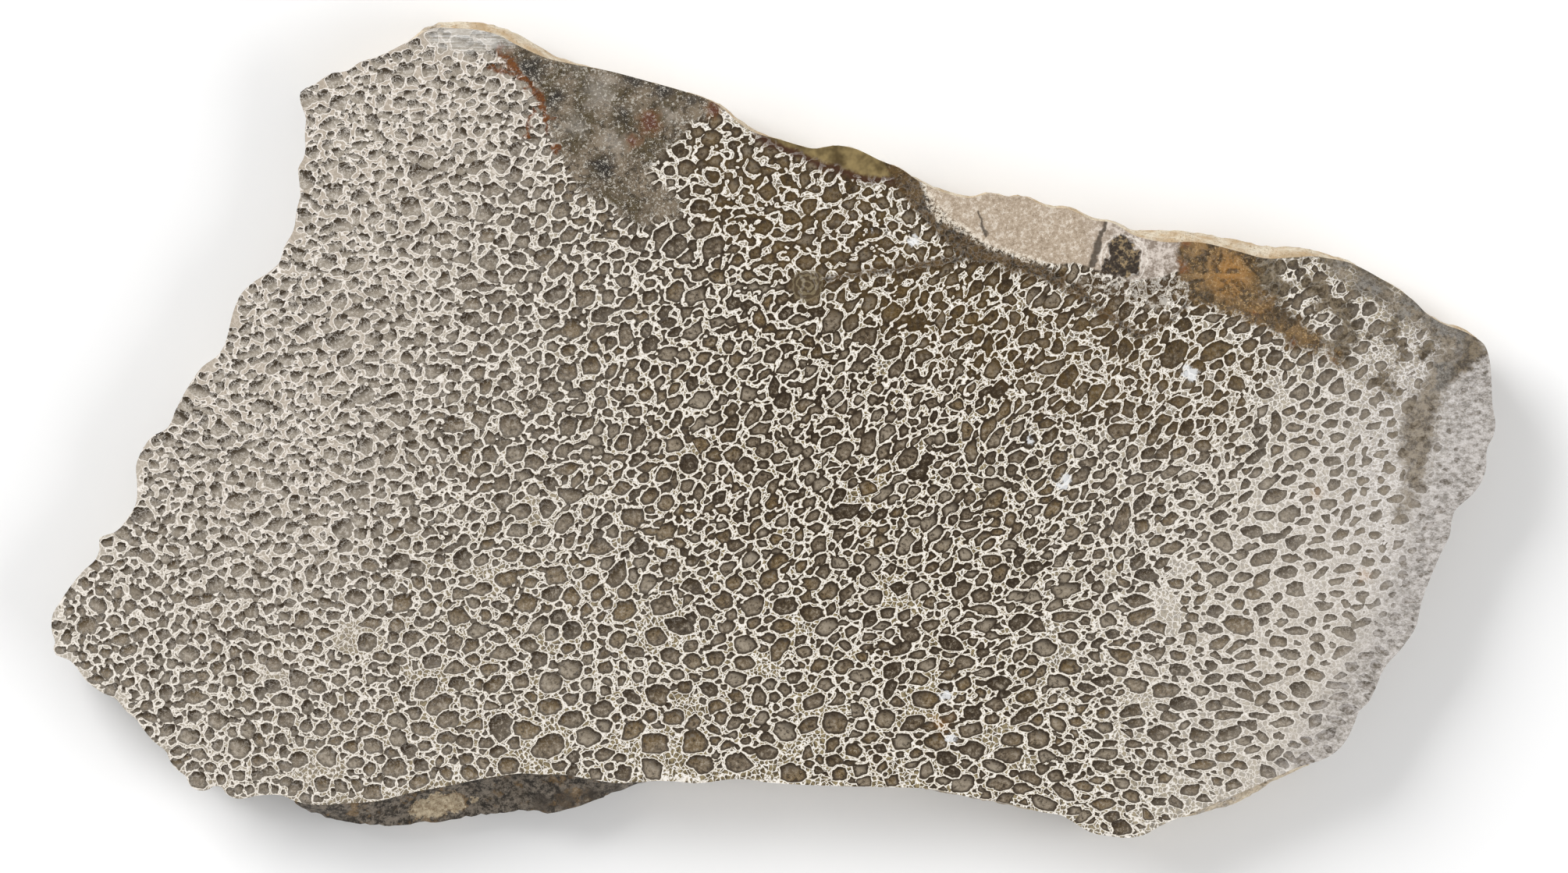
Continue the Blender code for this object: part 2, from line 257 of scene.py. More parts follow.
along = np.roll(curve, -DIRECTION_SPAN, axis=0) - np.roll(curve, DIRECTION_SPAN, axis=0)
outward = np.column_stack((-along[:, 1], along[:, 0]))
outward /= np.hypot(*outward.T)[:, None]

rings = []
for down in LEVELS:
    sections = np.array([rim_section(*point[:4], down) for point in curve.tolist()])
    for _ in range(EASING_ROUNDS):
        reach = sections[:, 1]
        sections[:, 1] = (np.roll(reach, 1) + 2 * reach + np.roll(reach, -1)) / 4
    level = curve[:, :2] + outward * sections[:, 1:]
    rings.append(np.column_stack((level, THICKNESS * (1 - sections[:, 0]))))
rings = np.array(rings)

low, high = rings.min((0, 1)), rings.max((0, 1))
middle = (low + high)[:2] / 2
to_metres = (cad_high.x - cad_low.x) / (high - low)[0]
print("The rim spans", (high - low).round(1), "mm")

# %% [markdown]
# ## Kinds of stone on the sawn face
#
# Not all of the face is marrow. Along the upper edge lie patches of plain agate, a bit of the
# limy mud that the bone was buried in, golden chalcedony and a dark vein. At the right the outer
# wall of the bone is compact. Each patch is drawn as a polygon or as a line with a half width,
# and each point of the face learns how deep inside the patch it lies. The paint can then fray the
# borders with noise, as an image mask could not without showing its pixels.

# %% Draw the patches
AGATE = ((-28.5, 42.5), (-28.5, 38.8), (-26, 37), (-24.5, 35.5), (-23.5, 33.5), (-23, 31),
         (-22, 29), (-20.5, 27), (-20, 25), (-19, 24), (-16.5, 23), (-15, 21.5), (-13, 20.5),
         (-11.5, 22), (-9.5, 21.5), (-9, 23.5), (-11, 24.5), (-13, 25.5), (-12, 27),
         (-11, 28.5), (-9.5, 29.5), (-8.5, 31), (-6.5, 32), (-5, 33.2), (-5, 40))
OLIVE = ((-1.5, 31), (0, 29.6), (2, 28.9), (5, 27.5), (10, 25.8), (12.5, 25.8), (14, 26.5),
         (12, 29), (8, 31), (2, 31.5))
MATRIX = ((15.8, 25.2), (16.2, 23), (17.5, 21.3), (20.5, 20), (21.8, 19), (24.5, 18),
          (27, 17.2), (29, 16.8), (31.5, 17), (34, 16), (37, 15), (40, 15.5), (43, 16.5),
          (43.5, 22), (35, 25), (16, 28))
CHALCEDONY = ((42, 22), (41.8, 18.8), (42.0, 14.5), (43.5, 13), (46, 12), (49, 11), (50, 10.5),
              (52, 9.5), (53, 8.5), (56, 7.5), (58.5, 6.2), (58.5, 7.2), (57, 8.8),
              (54, 11.5), (53, 12.5), (50.5, 14), (50, 17.5), (50, 20))
# x, y and half width
VEIN = ((12.5, 28, 1.2), (14.2, 25.2, 1.2), (15.6, 22.8, 1.0), (17.5, 20.8, 1.1), (20, 18.8, 1.1),
        (22, 17.6, 1.0), (25, 16.7, 1.0), (28, 16.0, 0.9), (30, 15.0, 0.8), (32, 13.6, 0.7),
        (34, 12, 0.6), (36, 10.6, 0.5), (38, 9.4, 0.4), (41, 11, 0.3), (43.5, 13.5, 0.3))
VEIN_BRANCH = ((22, 17.8, 0.6), (18, 17.1, 0.45), (14, 16.4, 0.4), (10, 16.0, 0.35), (5, 15.2, 0.4))
DARK_BAND = ((69.5, 8, 1.0), (68, 4, 1.0), (66.8, 2, 1.6), (66.3, 0, 1.9), (66.0, -2, 1.8),
             (66.2, -4, 1.2), (65.6, -7, 0.7), (64.5, -9, 0.5))
EDGE_BAND = ((58, 16.4, 0.8), (62, 14, 0.9), (66, 11.8, 1.0), (70, 9, 1.2))
MOTTLED = ((48.5, 20), (50, 14.5), (53.5, 12.0), (56.5, 8.5), (60, 5.5), (64, 3), (68, 3.5), (74, 8),
           (66, 16), (57, 20))
COMPACT = ((76, 12), (69.5, 7), (68.5, 3), (68, 0), (67.5, -4), (66, -8), (64.5, -13),
           (62, -19), (58.5, -25), (55, -31), (52, -36), (60, -38), (78, -20))
DRUSE = ((30.5, 15.6), (33.5, 16.4), (37, 15.4), (42.5, 16.4), (43, 13.2), (40, 11.6), (36, 12.6),
         (32, 13.8))
BROWNED = ((-9, 31), (0, 29), (12, 27), (17, 20), (24, 16), (32, 12), (44, 12), (52, 7), (46, -2),
           (30, 1), (16, 7), (5, 13), (-7, 21))
SCRATCHED = ((-35, 42), (-35, 39.2), (-31, 38.6), (-26.5, 39.2), (-25.5, 41), (-30, 42.5))
# Streaks as x, y, x, y and half width
RUST = ((-28, 39.3, -26.6, 37.6, 0.25), (-26.6, 37.6, -25.6, 35.8, 0.4),
        (-25.6, 35.8, -23.8, 34.6, 0.35), (-23.8, 34.6, -22.9, 32.0, 0.35),
        (-22.9, 32.0, -22.8, 30.6, 0.2), (-26.4, 36.4, -28.6, 36.6, 0.2),
        (-24.2, 32.2, -25.2, 30.0, 0.25), (-22.3, 28.9, -21.9, 28.2, 0.2))
CRACKS = ((21.4, 22.2, 21.6, 21.0, 0.12), (21.6, 21.0, 22.2, 19.8, 0.16), (34.4, 21.2, 33.6, 19.2, 0.22),
          (33.6, 19.2, 33.0, 16.8, 0.3), (42.3, 18.4, 42.0, 15.8, 0.15))
# Spots as x, y and radius
KNOT = ((36.0, 18.5, 1.3), (36.4, 17.1, 1.6), (34.9, 16.3, 1.1))
KNOT_RING = (36.2, 17.4)
ROSETTE = (3.8, 14.7)
AGATE_DARK = ((-24.5, 36.8, 1.3), (-22, 34, 0.8), (-14, 36, 1.0), (-15, 32, 0.6), (-17.3, 26.8, 1.1),
              (-11, 34.8, 0.8), (-8, 33.7, 0.4), (-22.5, 31.5, 0.5))
AGATE_PALE = ((-17.5, 34.5, 1.4), (-20, 31, 0.8), (-16, 29.2, 0.8), (-10.5, 32, 0.5), (-19.5, 37.2, 0.5))
MAROON = ((-12.3, 31.3, 0.9), (-14, 29.3, 0.3), (-5.8, 32.8, 0.5), (-27, 38, 0.3))
QUARTZ = ((43, 5.5, 0.8), (17.8, -27.5, 0.5), (18.5, -32, 0.4), (10, 20, 0.4), (30, -5.6, 0.7),
          (14.4, 19.2, 0.5), (26.6, -1.0, 0.3))
TAN_STAIN = ((17.5, -30, 0.8), (56, -6.5, 0.4), (61, -15, 0.4))
GOLD_GLOW = ((47.2, 15.6, 1.7), (50.5, 12.8, 0.6), (55.6, 7.6, 0.4))
GOLD_DARK = ((52.5, 11.8, 1.2), (50.6, 14.8, 0.6), (44.5, 13.8, 0.5))
RUSTY = ((57.2, 7.2, 0.5), (53.6, 9.0, 0.3), (49.8, 11.4, 0.3), (42.6, 19.4, 0.6), (42.3, 16.5, 0.6))
# Painted shadow in the hollow under the lip of the flake scar, as x, y and radius
SCAR_SHADOW = ((-23.5, -38.6, 1.0), (-21, -38.3, 1.1), (-18.5, -37.9, 1.1), (-16, -37.3, 0.8))
SCAR_TAN = ((-36, -39.2, 1.1), (-34.3, -38.7, 1.3), (-32.5, -38.4, 1.0), (-30.4, -38.2, 0.4))
BONE_ISLANDS = ((54.2, 12.9, 1.2), (56.4, 10.3, 1.5), (58.6, 14.9, 1.5), (61.6, 11.8, 1.9),
                (61.6, 7.4, 2.0), (66.3, 9.9, 1.5), (69.1, 8.1, 1.2), (55.7, 16.5, 0.8),
                (53.3, 16.3, 0.8), (66.0, 5.0, 2.0), (64.0, 13.2, 0.9))

# %% [markdown]
# A patch is a polygon, a line or a group of spots. Its depth is measured accordingly, in
# millimetres from the nearest border.

# %% Measure how deep a place lies in a patch
POLYGONS = {"agate": AGATE, "olive": OLIVE, "matrix": MATRIX, "chalcedony": CHALCEDONY,
            "mottled": MOTTLED, "compact": COMPACT, "scratched": SCRATCHED, "druse": DRUSE,
            "browned": BROWNED}
LINES = {"vein": (VEIN, VEIN_BRANCH), "dark_band": (DARK_BAND, EDGE_BAND)}
SPOTS = {"agate_dark": AGATE_DARK, "agate_pale": AGATE_PALE, "maroon": MAROON, "quartz": QUARTZ,
         "tan_stain": TAN_STAIN, "gold_glow": GOLD_GLOW, "gold_dark": GOLD_DARK, "rusty": RUSTY,
         "bone_islands": BONE_ISLANDS}
CELL_FREE = ("agate", "olive", "matrix", "chalcedony", "vein")
FAR_OUTSIDE = -5.0


def line_depth(x, y, line):
    """How deep each place lies in a line of points with half widths, negative outside it."""
    depth = np.full(x.shape, -1e9)
    for (x0, y0, wide), (x1, y1, wide_after) in zip(line, line[1:]):
        dx, dy = x1 - x0, y1 - y0
        t = np.clip(((x - x0) * dx + (y - y0) * dy) / (dx * dx + dy * dy), 0, 1)
        distance = np.hypot(x - x0 - t * dx, y - y0 - t * dy)
        depth = np.maximum(depth, wide + t * (wide_after - wide) - distance)
    return depth


def is_inside(x, y, polygon):
    inside = np.zeros(x.shape, bool)
    points = np.array(polygon, float)
    for (x0, y0), (x1, y1) in zip(points, np.roll(points, -1, axis=0)):
        if y0 != y1:
            crosses = (y0 > y) != (y1 > y)
            inside ^= crosses & (x < x0 + (y - y0) * (x1 - x0) / (y1 - y0))
    return inside


def polygon_depth(x, y, polygon):
    border = [(*point, 0.0) for point in (*polygon, polygon[0])]
    distance = -line_depth(x, y, border)
    return np.where(is_inside(x, y, polygon), distance, -distance)


def patch_depth(x, y, name):
    """How deep each place lies in the patch of that name, negative outside it."""
    if name in POLYGONS:
        return polygon_depth(x, y, POLYGONS[name])
    if name in LINES:
        return np.max([line_depth(x, y, line) for line in LINES[name]], axis=0)
    depth = [radius - np.hypot(x - sx, y - sy) for sx, sy, radius in SPOTS[name]]
    return np.maximum(np.max(depth, axis=0), FAR_OUTSIDE)


print("Patches:", ", ".join((*POLYGONS, *LINES, *SPOTS)))

# %% [markdown]
# ## How the marrow changes over the face
#
# Marrow cells differ over a bone. Near its middle they are large with thin walls, towards its
# outer wall they get small and far apart, and they lie stretched along the load that the bone
# carried. So the face has a few zones. Each names its middle, the radius of its cells, how many
# times longer than wide they are and in which direction, half the thickness of the walls, how
# far cells swell to fill gaps, the share of walls that are broken through, how spongy thick walls
# are, and the haze: a painted sheen that makes the paint paler and lower in contrast, where the
# walls also wobble more. Between zones the values blend.

# %% Describe the zones of marrow
# x, y, radius, aspect, direction, half wall, swelling, broken walls, sponge, bubbles, haze
ZONES = np.array((
    (-66, -20, 0.60, 1.25, 0, 0.095, 0.20, 0.25, 0.10, 0.50, 0.45),
    (-52, -6, 0.60, 1.30, 10, 0.105, 0.18, 0.35, 0.10, 0.40, 0.90),
    (-42, 28, 0.60, 1.30, 10, 0.110, 0.16, 0.40, 0.05, 0.40, 1.00),
    (-46, 12, 0.62, 1.35, 10, 0.110, 0.16, 0.40, 0.05, 0.40, 0.95),
    (-28, 12, 0.66, 1.45, 20, 0.110, 0.20, 0.28, 0.10, 0.60, 0.50),
    (-52, -28, 0.62, 1.15, 0, 0.105, 0.18, 0.20, 0.38, 0.90, 0.38),
    (-25, -8, 0.67, 1.60, 25, 0.104, 0.22, 0.22, 0.32, 0.90, 0.25),
    (-32, -26, 0.72, 1.45, 5, 0.120, 0.16, 0.10, 0.55, 1.00, 0.30),
    (-15, -30, 0.76, 1.45, 5, 0.122, 0.16, 0.08, 0.58, 1.00, 0.12),
    (8, -30, 0.70, 1.60, 8, 0.119, 0.16, 0.10, 0.54, 1.00, 0.05),
    (-5, 0, 0.68, 1.80, 40, 0.105, 0.24, 0.20, 0.15, 1.00, 0.00),
    (-18, 12, 0.68, 1.65, 30, 0.108, 0.22, 0.20, 0.15, 0.90, 0.10),
    (20, 0, 0.65, 2.30, 42, 0.106, 0.24, 0.20, 0.24, 1.00, 0.00),
    (20, -18, 0.68, 2.20, 25, 0.106, 0.22, 0.20, 0.38, 1.00, 0.00),
    (3, 22, 0.64, 1.30, 20, 0.134, 0.20, 0.45, 0.10, 0.80, 0.00),
    (42, -4, 0.70, 2.40, 40, 0.122, 0.12, 0.20, 0.26, 0.70, 0.20),
    (46, 9, 0.68, 2.10, 50, 0.115, 0.14, 0.25, 0.15, 0.80, 0.00),
    (56, -4, 0.70, 2.10, 30, 0.140, 0.05, 0.30, 0.20, 0.45, 0.25),
    (62, 10, 0.62, 1.30, 20, 0.140, 0.10, 0.40, 0.80, 1.00, 0.20),
    (66, -10, 0.62, 1.90, 20, 0.240, 0.00, 0.20, 0.00, 0.30, 0.50),
    (72, -4, 0.50, 1.30, 0, 0.700, 0.00, 0.00, 0.00, 0.20, 0.80),
    (44, -26, 0.74, 2.60, -8, 0.140, 0.12, 0.20, 0.34, 0.60, 0.25),
    (57, -24, 0.68, 2.30, -8, 0.190, 0.02, 0.20, 0.10, 0.40, 0.55),
    (28, -33, 0.72, 2.00, -5, 0.120, 0.14, 0.12, 0.50, 1.00, 0.05),
))
ZONE_REACH = 9.0


def zone_values(x, y):
    """The values of the zones, blended for each place. The direction is in radians."""
    x, y = np.atleast_1d(x).astype(float), np.atleast_1d(y).astype(float)
    distance = (x[..., None] - ZONES[:, 0]) ** 2 + (y[..., None] - ZONES[:, 1]) ** 2
    weight = np.exp((distance.min(-1)[..., None] - distance) / (2 * ZONE_REACH**2))
    weight /= weight.sum(-1)[..., None]
    turn = 2 * np.radians(ZONES[:, 4])
    stretch_x = (weight * (ZONES[:, 3] - 1) * np.cos(turn)).sum(-1)
    stretch_y = (weight * (ZONES[:, 3] - 1) * np.sin(turn)).sum(-1)
    values = {"radius": (weight * ZONES[:, 2]).sum(-1)}
    values["aspect"] = 1 + np.hypot(stretch_x, stretch_y)
    values["direction"] = np.arctan2(stretch_y, stretch_x) / 2
    names = ("half_wall", "swelling", "broken", "sponge", "bubbles", "haze")
    for column, name in enumerate(names, 5):
        values[name] = (weight * ZONES[:, column]).sum(-1)
    return values


# %% [markdown]
# ## Packing the cells
#
# Marrow grows like foam, so the cells are packed like bubbles. A grid over the face keeps, for
# every spot, how far it lies outside the nearest cell. The big cells that stand out on the real
# face are listed one by one. Then ever smaller cells are dropped at random spots that still have
# room. A Voronoi texture is the usual shortcut, but its cells are all alike, and here size, shape
# and direction have to change over the face.

# %% Choose the sizes of cells and place the large ones
# The spacing of the grid, its margin, and how far round itself a cell takes up room
GRID, GRID_MARGIN, LARGEST_CELL = 0.14, 2.0, 2.6
# The room at a spot before any cell is there, at one that is closed, and more than any spot has
EMPTY, FILLED, NO_ROOM = 5.0, -1.0, 9.0
# How far cells go on outside the border, and how far they stay off a patch
OUTER_MARGIN, PATCH_MARGIN = 1.2, 0.25
# The length of the waves in which size drifts, the least share of it, and what the waves add
SIZE_WAVES, LEAST_SIZE, SIZE_DRIFT = 12.0, 0.82, 0.36
# Spots tried before the room is looked at again, and how much single cells differ
TRIES = 400
ASPECT_SPREAD, TURN_SPREAD, RADIUS_SPREAD = (0.75, 1.3), 0.3, (0.92, 1.04)
# The steps of size, as a share of the zone's radius, and how much of the face each may fill
SIZE_STEPS = ((1.6, 0.05), (1.3, 0.16), (1.05, 0.30), (0.84, 0.3), (0.66, 0.3), (0.52, 0.3),
              (0.41, 0.3), (0.33, 0.2))
# The least step in sponge and in dense bone, and the half wall from which bone is dense
LEAST_IN_SPONGE, LEAST_IN_DENSE, DENSE_WALL = 1.1, 0.75, 0.15
# x, y, half length, half width and direction of cells that stand out
LARGE_CELLS = (
    (-22.6, -32.6, 2.0, 1.25, 10), (-27.6, -30.5, 1.6, 1.3, 90), (-20.5, -24.6, 1.3, 1.1, -25),
    (-11.5, -27.4, 1.4, 1.1, 0), (-12, -32.3, 2.2, 1.0, 0), (-7.8, -32.2, 1.5, 1.3, 0),
    (-3.3, -34.2, 1.6, 1.0, 0), (-0.5, -33.2, 1.2, 0.8, 0), (2.3, -35.3, 1.5, 0.9, 0),
    (-3.5, -25.7, 1.2, 0.8, 0), (-1.2, -27.6, 1.1, 0.8, 90), (20.6, -33, 1.3, 0.9, 0),
    (23.5, -36.3, 1.5, 0.8, 0), (20.7, -29.2, 1.1, 0.8, 0), (31, -34.8, 1.5, 0.6, 0),
    (34.8, -33.4, 1.8, 0.6, 0), (37.5, -26.3, 1.3, 0.8, 0), (44.4, -34.5, 1.8, 0.6, 0),
    (46.5, -29.4, 2.0, 0.5, 0), (48.2, -20.2, 2.1, 1.0, -15), (46.5, -11.6, 1.3, 1.1, 0),
    (53.2, -23.2, 1.4, 0.6, 0), (50.5, -13.3, 1.7, 0.8, 20), (41.3, 7.6, 1.9, 1.2, 50),
    (43.8, 6.2, 0.9, 0.8, 0), (47.8, 4.6, 1.0, 0.9, 0), (49.1, 8.5, 1.0, 0.8, 40),
    (-70, -20.2, 1.1, 1.0, 0), (-57, -16, 1.1, 1.0, 0), (-54.4, -32.8, 1.3, 1.1, 0),
    (-58.7, -36.0, 1.1, 0.8, 0), (-20.3, 10.1, 1.2, 1.1, 0), (-18.4, 6.4, 1.2, 1.1, 0),
    (-14.8, 9.7, 1.3, 0.8, 90), (-26.6, 0.3, 1.4, 1.2, 0), (-14.2, -9.1, 1.3, 1.1, 0),
    (-8.3, -3.8, 1.1, 1.0, 0), (-2.3, 3.5, 1.1, 0.9, 30), (-28.8, -2.7, 1.1, 0.9, 0),
)

# %% [markdown]
# Two slow patterns make the packing less even: the size of cells drifts over the face, and the
# sponge comes in clouds. A sum of a few sine waves in random directions is enough for both.

# %% Let sizes and sponge drift over the face
WAVES, WAVE_SPREAD, WAVE_LENGTHS = 14, 11, (0.6, 1.6)
SPONGE_WAVES, SPONGE_START, LEAST_SPONGE = 9.0, 0.15, 0.05


def slow_waves(x, y, length, seed):
    """A smooth random value from 0 to 1 over the face, about this long from crest to crest."""
    rng = np.random.default_rng(seed)
    total = 0
    for _ in range(WAVES):
        turn, shift = rng.uniform(0, 2 * math.pi, 2)
        step = 2 * math.pi / (length * rng.uniform(*WAVE_LENGTHS))
        total = total + np.sin((x * math.cos(turn) + y * math.sin(turn)) * step + shift)
    return 0.5 + np.clip(total / WAVE_SPREAD, -0.5, 0.5)


def spongy(x, y):
    """Whether the bone at each place is a sponge, with none but large cells."""
    share = zone_values(x, y)["sponge"]
    return (share - SPONGE_START > slow_waves(x, y, SPONGE_WAVES, 2)) & (share > LEAST_SPONGE)


def cell_distance(cell, x, y):
    """How far places lie outside an elliptical cell, measured in its own stretched space."""
    cx, cy, radius, aspect, direction = cell
    along = (x - cx) * math.cos(direction) + (y - cy) * math.sin(direction)
    across = (y - cy) * math.cos(direction) - (x - cx) * math.sin(direction)
    return np.sqrt(along**2 / aspect + across**2 * aspect) - radius


# %% [markdown]
# The grid also says where cells may not go: in plain agate, mud and veins, and in sponge and dense
# bone none but the larger sizes. A size is dropped until it has taken its share of the face or
# finds no more room.

# %% Pack marrow cells into the face
def pack_cells(border, seed, with_large, smallest):
    """Cells as rows of x, y, radius, aspect and direction, filling the border and a bit round it."""
    rng = np.random.default_rng(seed)
    xs = np.arange(low[0] - GRID_MARGIN, high[0] + GRID_MARGIN, GRID)
    ys = np.arange(low[1] - GRID_MARGIN, high[1] + GRID_MARGIN, GRID)
    grid_x, grid_y = np.meshgrid(xs, ys)
    free = np.full(grid_x.shape, EMPTY)
    edge = polygon_depth(grid_x, grid_y, tuple(map(tuple, border[::4])))
    free[edge < -OUTER_MARGIN] = FILLED
    for name in CELL_FREE:
        free = np.minimum(free, PATCH_MARGIN - patch_depth(grid_x, grid_y, name))
    zone = zone_values(grid_x, grid_y)
    drift = LEAST_SIZE + SIZE_DRIFT * slow_waves(grid_x, grid_y, SIZE_WAVES, seed)
    spacious = zone["radius"] * drift
    sponge, dense = spongy(grid_x, grid_y), zone["half_wall"] > DENSE_WALL
    cells = []

    def add(x, y, radius, aspect, direction):
        cell = (x, y, radius, aspect, direction)
        reach = int((radius + LARGEST_CELL) * math.sqrt(aspect) / GRID)
        column, row = int((x - xs[0]) / GRID), int((y - ys[0]) / GRID)
        window = (slice(max(0, row - reach), row + reach), slice(max(0, column - reach), column + reach))
        free[window] = np.minimum(free[window], cell_distance(cell, grid_x[window], grid_y[window]))
        cells.append(cell)

    if with_large:
        for x, y, length, width, direction in LARGE_CELLS:
            add(x, y, math.sqrt(length * width), length / width, math.radians(direction))
    area = (free > FILLED).sum() * GRID**2
    for size, share in SIZE_STEPS:
        if size < smallest:
            break
        need = size * spacious
        if size < LEAST_IN_SPONGE:
            need = np.where(sponge, NO_ROOM, need)
        if size < LEAST_IN_DENSE:
            need = np.where(dense, NO_ROOM, need)
        room_left = share * area
        while room_left > 0:
            spots = np.flatnonzero(free > need)
            if not len(spots):
                break
            for spot in rng.permutation(spots)[:TRIES]:
                radius = need.flat[spot]
                if free.flat[spot] > radius:
                    x, y = grid_x.flat[spot], grid_y.flat[spot]
                    aspect = max(1.0, zone["aspect"].flat[spot] * rng.uniform(*ASPECT_SPREAD))
                    direction = zone["direction"].flat[spot] + rng.normal(0, TURN_SPREAD)
                    add(x + rng.uniform(-0.5, 0.5) * GRID, y + rng.uniform(-0.5, 0.5) * GRID,
                        radius * rng.uniform(*RADIUS_SPREAD), aspect, direction)
                    room_left -= math.pi * radius**2
    return np.array(cells), xs, ys


front_cells, grid_xs, grid_ys = pack_cells(
    rings[0, :, :2], seed=7, with_large=True, smallest=0.3)
print(len(front_cells), "marrow cells on the upper face, radius",
      front_cells[:, 2].min().round(2), "to", front_cells[:, 2].max().round(2), "mm")

# %% [markdown]
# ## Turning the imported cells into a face
#
# The middles of the cells and the points of the face's edge are joined into triangles, each with
# cells at its corners. A wall runs halfway between two neighbours, and three walls meet in the
# middle of a triangle. So each triangle is cut in six there, and every piece lies in one cell.
# Where no cell is, as in sponge, loose points fill the gap. The distances are measured in each
# cell's own stretched space, in which its ellipse is a circle.

# %% Measure distances from cells
# In millimetres: how far off cells are looked for, and the distance where none is near
NEAR, NONE_NEAR = 5, 9.0


def stretched(cells, dx, dy):
    """How long steps from the middles of cells are, one step for each cell."""
    cosine, sine = np.cos(cells[:, 4]), np.sin(cells[:, 4])
    along, across = dx * cosine + dy * sine, dy * cosine - dx * sine
    return np.sqrt(along**2 / cells[:, 3] + across**2 * cells[:, 3])


def outside(cells, x, y):
    """How far places lie outside cells, one cell for each place."""
    return stretched(cells, x - cells[:, 0], y - cells[:, 1]) - cells[:, 2]


def nearest_two(cells, x, y):
    """The two smallest distances outside any cell, at each place."""
    first, second = np.full(x.shape, NONE_NEAR), np.full(x.shape, NONE_NEAR)
    cells = cells[np.argsort(cells[:, 0])]
    for i in range(len(x)):
        start, end = np.searchsorted(cells[:, 0], (x[i] - NEAR, x[i] + NEAR))
        near = cells[start:end]
        near = near[np.abs(near[:, 1] - y[i]) < NEAR]
        if len(near):
            two = np.sort(outside(near, x[i], y[i]))[:2]
            first[i], second[i] = two[0], two[-1]
    return first, second


# %% [markdown]
# Delaunay triangles avoid slivers. The edge of the face is given as a polygon, so that none of its
# points is lost, and triangles outside it are dropped.

# %% Join the middles of the cells
# Loose points stand on every fifth point of the grid that is this far from any cell, jittered
OPEN_STEP, OPEN_GAP, JITTER = 5, 0.45, 0.15
# How far cells and loose points keep from the edge of the face
CELL_INSET, OPEN_INSET = 0.3, 0.5


def face_points(border, cells, rng):
    """The cells inside the border, and the border's points, the cells' middles and loose points."""
    polygon = tuple(map(tuple, border))
    inner = cells[polygon_depth(cells[:, 0], cells[:, 1], polygon) > CELL_INSET]
    x, y = (grid.ravel() for grid in np.meshgrid(grid_xs[::OPEN_STEP], grid_ys[::OPEN_STEP]))
    distance, _ = nearest_two(cells, x, y)
    roomy = (distance > OPEN_GAP) & (polygon_depth(x, y, polygon) > OPEN_INSET)
    loose = np.column_stack((x, y))[roomy]
    loose += rng.uniform(-JITTER, JITTER, loose.shape)
    return inner, np.vstack((border, inner[:, :2], loose))


def joined(places, ring):
    """Triangles between the places within the ring of edge points, all turned the same way."""
    points = [Vector(place) for place in places.tolist()]
    result = delaunay_2d_cdt(points, [], [list(range(ring))], 1, 1e-7, True)
    assert len(result[0]) == len(places), "points were merged"
    triangles = np.array(result[2])
    centre = places[triangles].mean(1)
    triangles = triangles[is_inside(centre[:, 0], centre[:, 1], tuple(map(tuple, places[:ring])))]
    (ax, ay), (bx, by), (cx, cy) = (places[triangles[:, k]].T for k in range(3))
    flip = (bx - ax) * (cy - ay) - (by - ay) * (cx - ax) < 0
    triangles[flip] = triangles[flip][:, ::-1]
    return triangles


# %% [markdown]
# Along an edge the wall's place follows from the sizes of its two cells. The meeting point of three
# walls has no simple formula, so it is found in a few steps, each towards the cell that is farther.

# %% Find where walls run and meet
# Shares of the way from one cell to the next: the limits for a wall, and how far chance shifts it
WALL_LIMITS, UNEVEN_WALL_LIMITS, WALL_SHIFT = (0.15, 0.85), (0.12, 0.88), 0.06
MEETING_LIMITS, MEETING_ROUNDS, MEETING_STEP = (0.12, 0.76), 12, 0.5


def walls_between(inner, edges, rng):
    """Where the wall between each two cells runs, and how far it lies outside them."""
    a, b = edges.T
    span_a, span_b = (stretched(inner[one], *(inner[other] - inner[one])[:, :2].T)
                      for one, other in ((a, b), (b, a)))
    share = np.clip((span_b + inner[a, 2] - inner[b, 2]) / (span_a + span_b), *WALL_LIMITS)
    gap = share * span_a - inner[a, 2]
    share = np.clip(share + rng.normal(0, WALL_SHIFT, len(share)), *UNEVEN_WALL_LIMITS)
    return inner[a, :2] * (1 - share)[:, None] + inner[b, :2] * share[:, None], gap


def meeting_points(inner, threes):
    """Where three walls meet, which is as far outside each of the three cells."""
    corners = inner[threes]
    size = np.hypot(corners[:, 0, 0] - corners[:, 1, 0], corners[:, 0, 1] - corners[:, 1, 1])
    share = np.full((len(threes), 3), 1 / 3)
    for _ in range(MEETING_ROUNDS):
        x = (share * corners[..., 0]).sum(1)
        y = (share * corners[..., 1]).sum(1)
        distance = np.column_stack([outside(corners[:, k], x, y) for k in range(3)])
        pull = distance - distance.mean(1)[:, None]
        share = np.clip(share + MEETING_STEP * pull / size[:, None], *MEETING_LIMITS)
        share /= share.sum(1)[:, None]
    return np.column_stack((x, y))


def cut_triangles(triangles, is_cell, wall_number, first_meeting):
    """Triangles cut where walls run, and the point in whose cell each lies, or -1 for none."""
    built, owners = [], []
    meeting = first_meeting
    for triangle in triangles.tolist():
        at_cell = [k for k in range(3) if is_cell[triangle[k]]]
        if len(at_cell) == 3:
            walls = [wall_number[tuple(sorted((triangle[k], triangle[(k + 1) % 3])))] for k in range(3)]
            for k in range(3):
                built.append((triangle[k], walls[k], meeting))
                built.append((triangle[k], meeting, walls[k - 1]))
                owners += [triangle[k]] * 2
            meeting += 1
        elif len(at_cell) == 2:
            other = ({0, 1, 2} - set(at_cell)).pop()
            p, q, o = triangle[(other + 1) % 3], triangle[(other + 2) % 3], triangle[other]
            wall = wall_number[tuple(sorted((p, q)))]
            built += [(p, wall, o), (wall, q, o)]
            owners += [p, q]
        else:
            built.append(tuple(triangle))
            owners.append(triangle[at_cell[0]] if at_cell else -1)
    return np.array(built), np.array(owners)


# %% [markdown]
# The paint rounds the cells off, because triangles alone would give them straight sides. For that
# each corner of a triangle stores where it lies in the ellipse of its cell, and what size the
# ellipse has. That place also tells on which side of the cell painted shade falls. The third
# number of the place is the tint of the filling, which also tilts that side.

# %% Place the corners in their cells
ROUNDING = 0.07


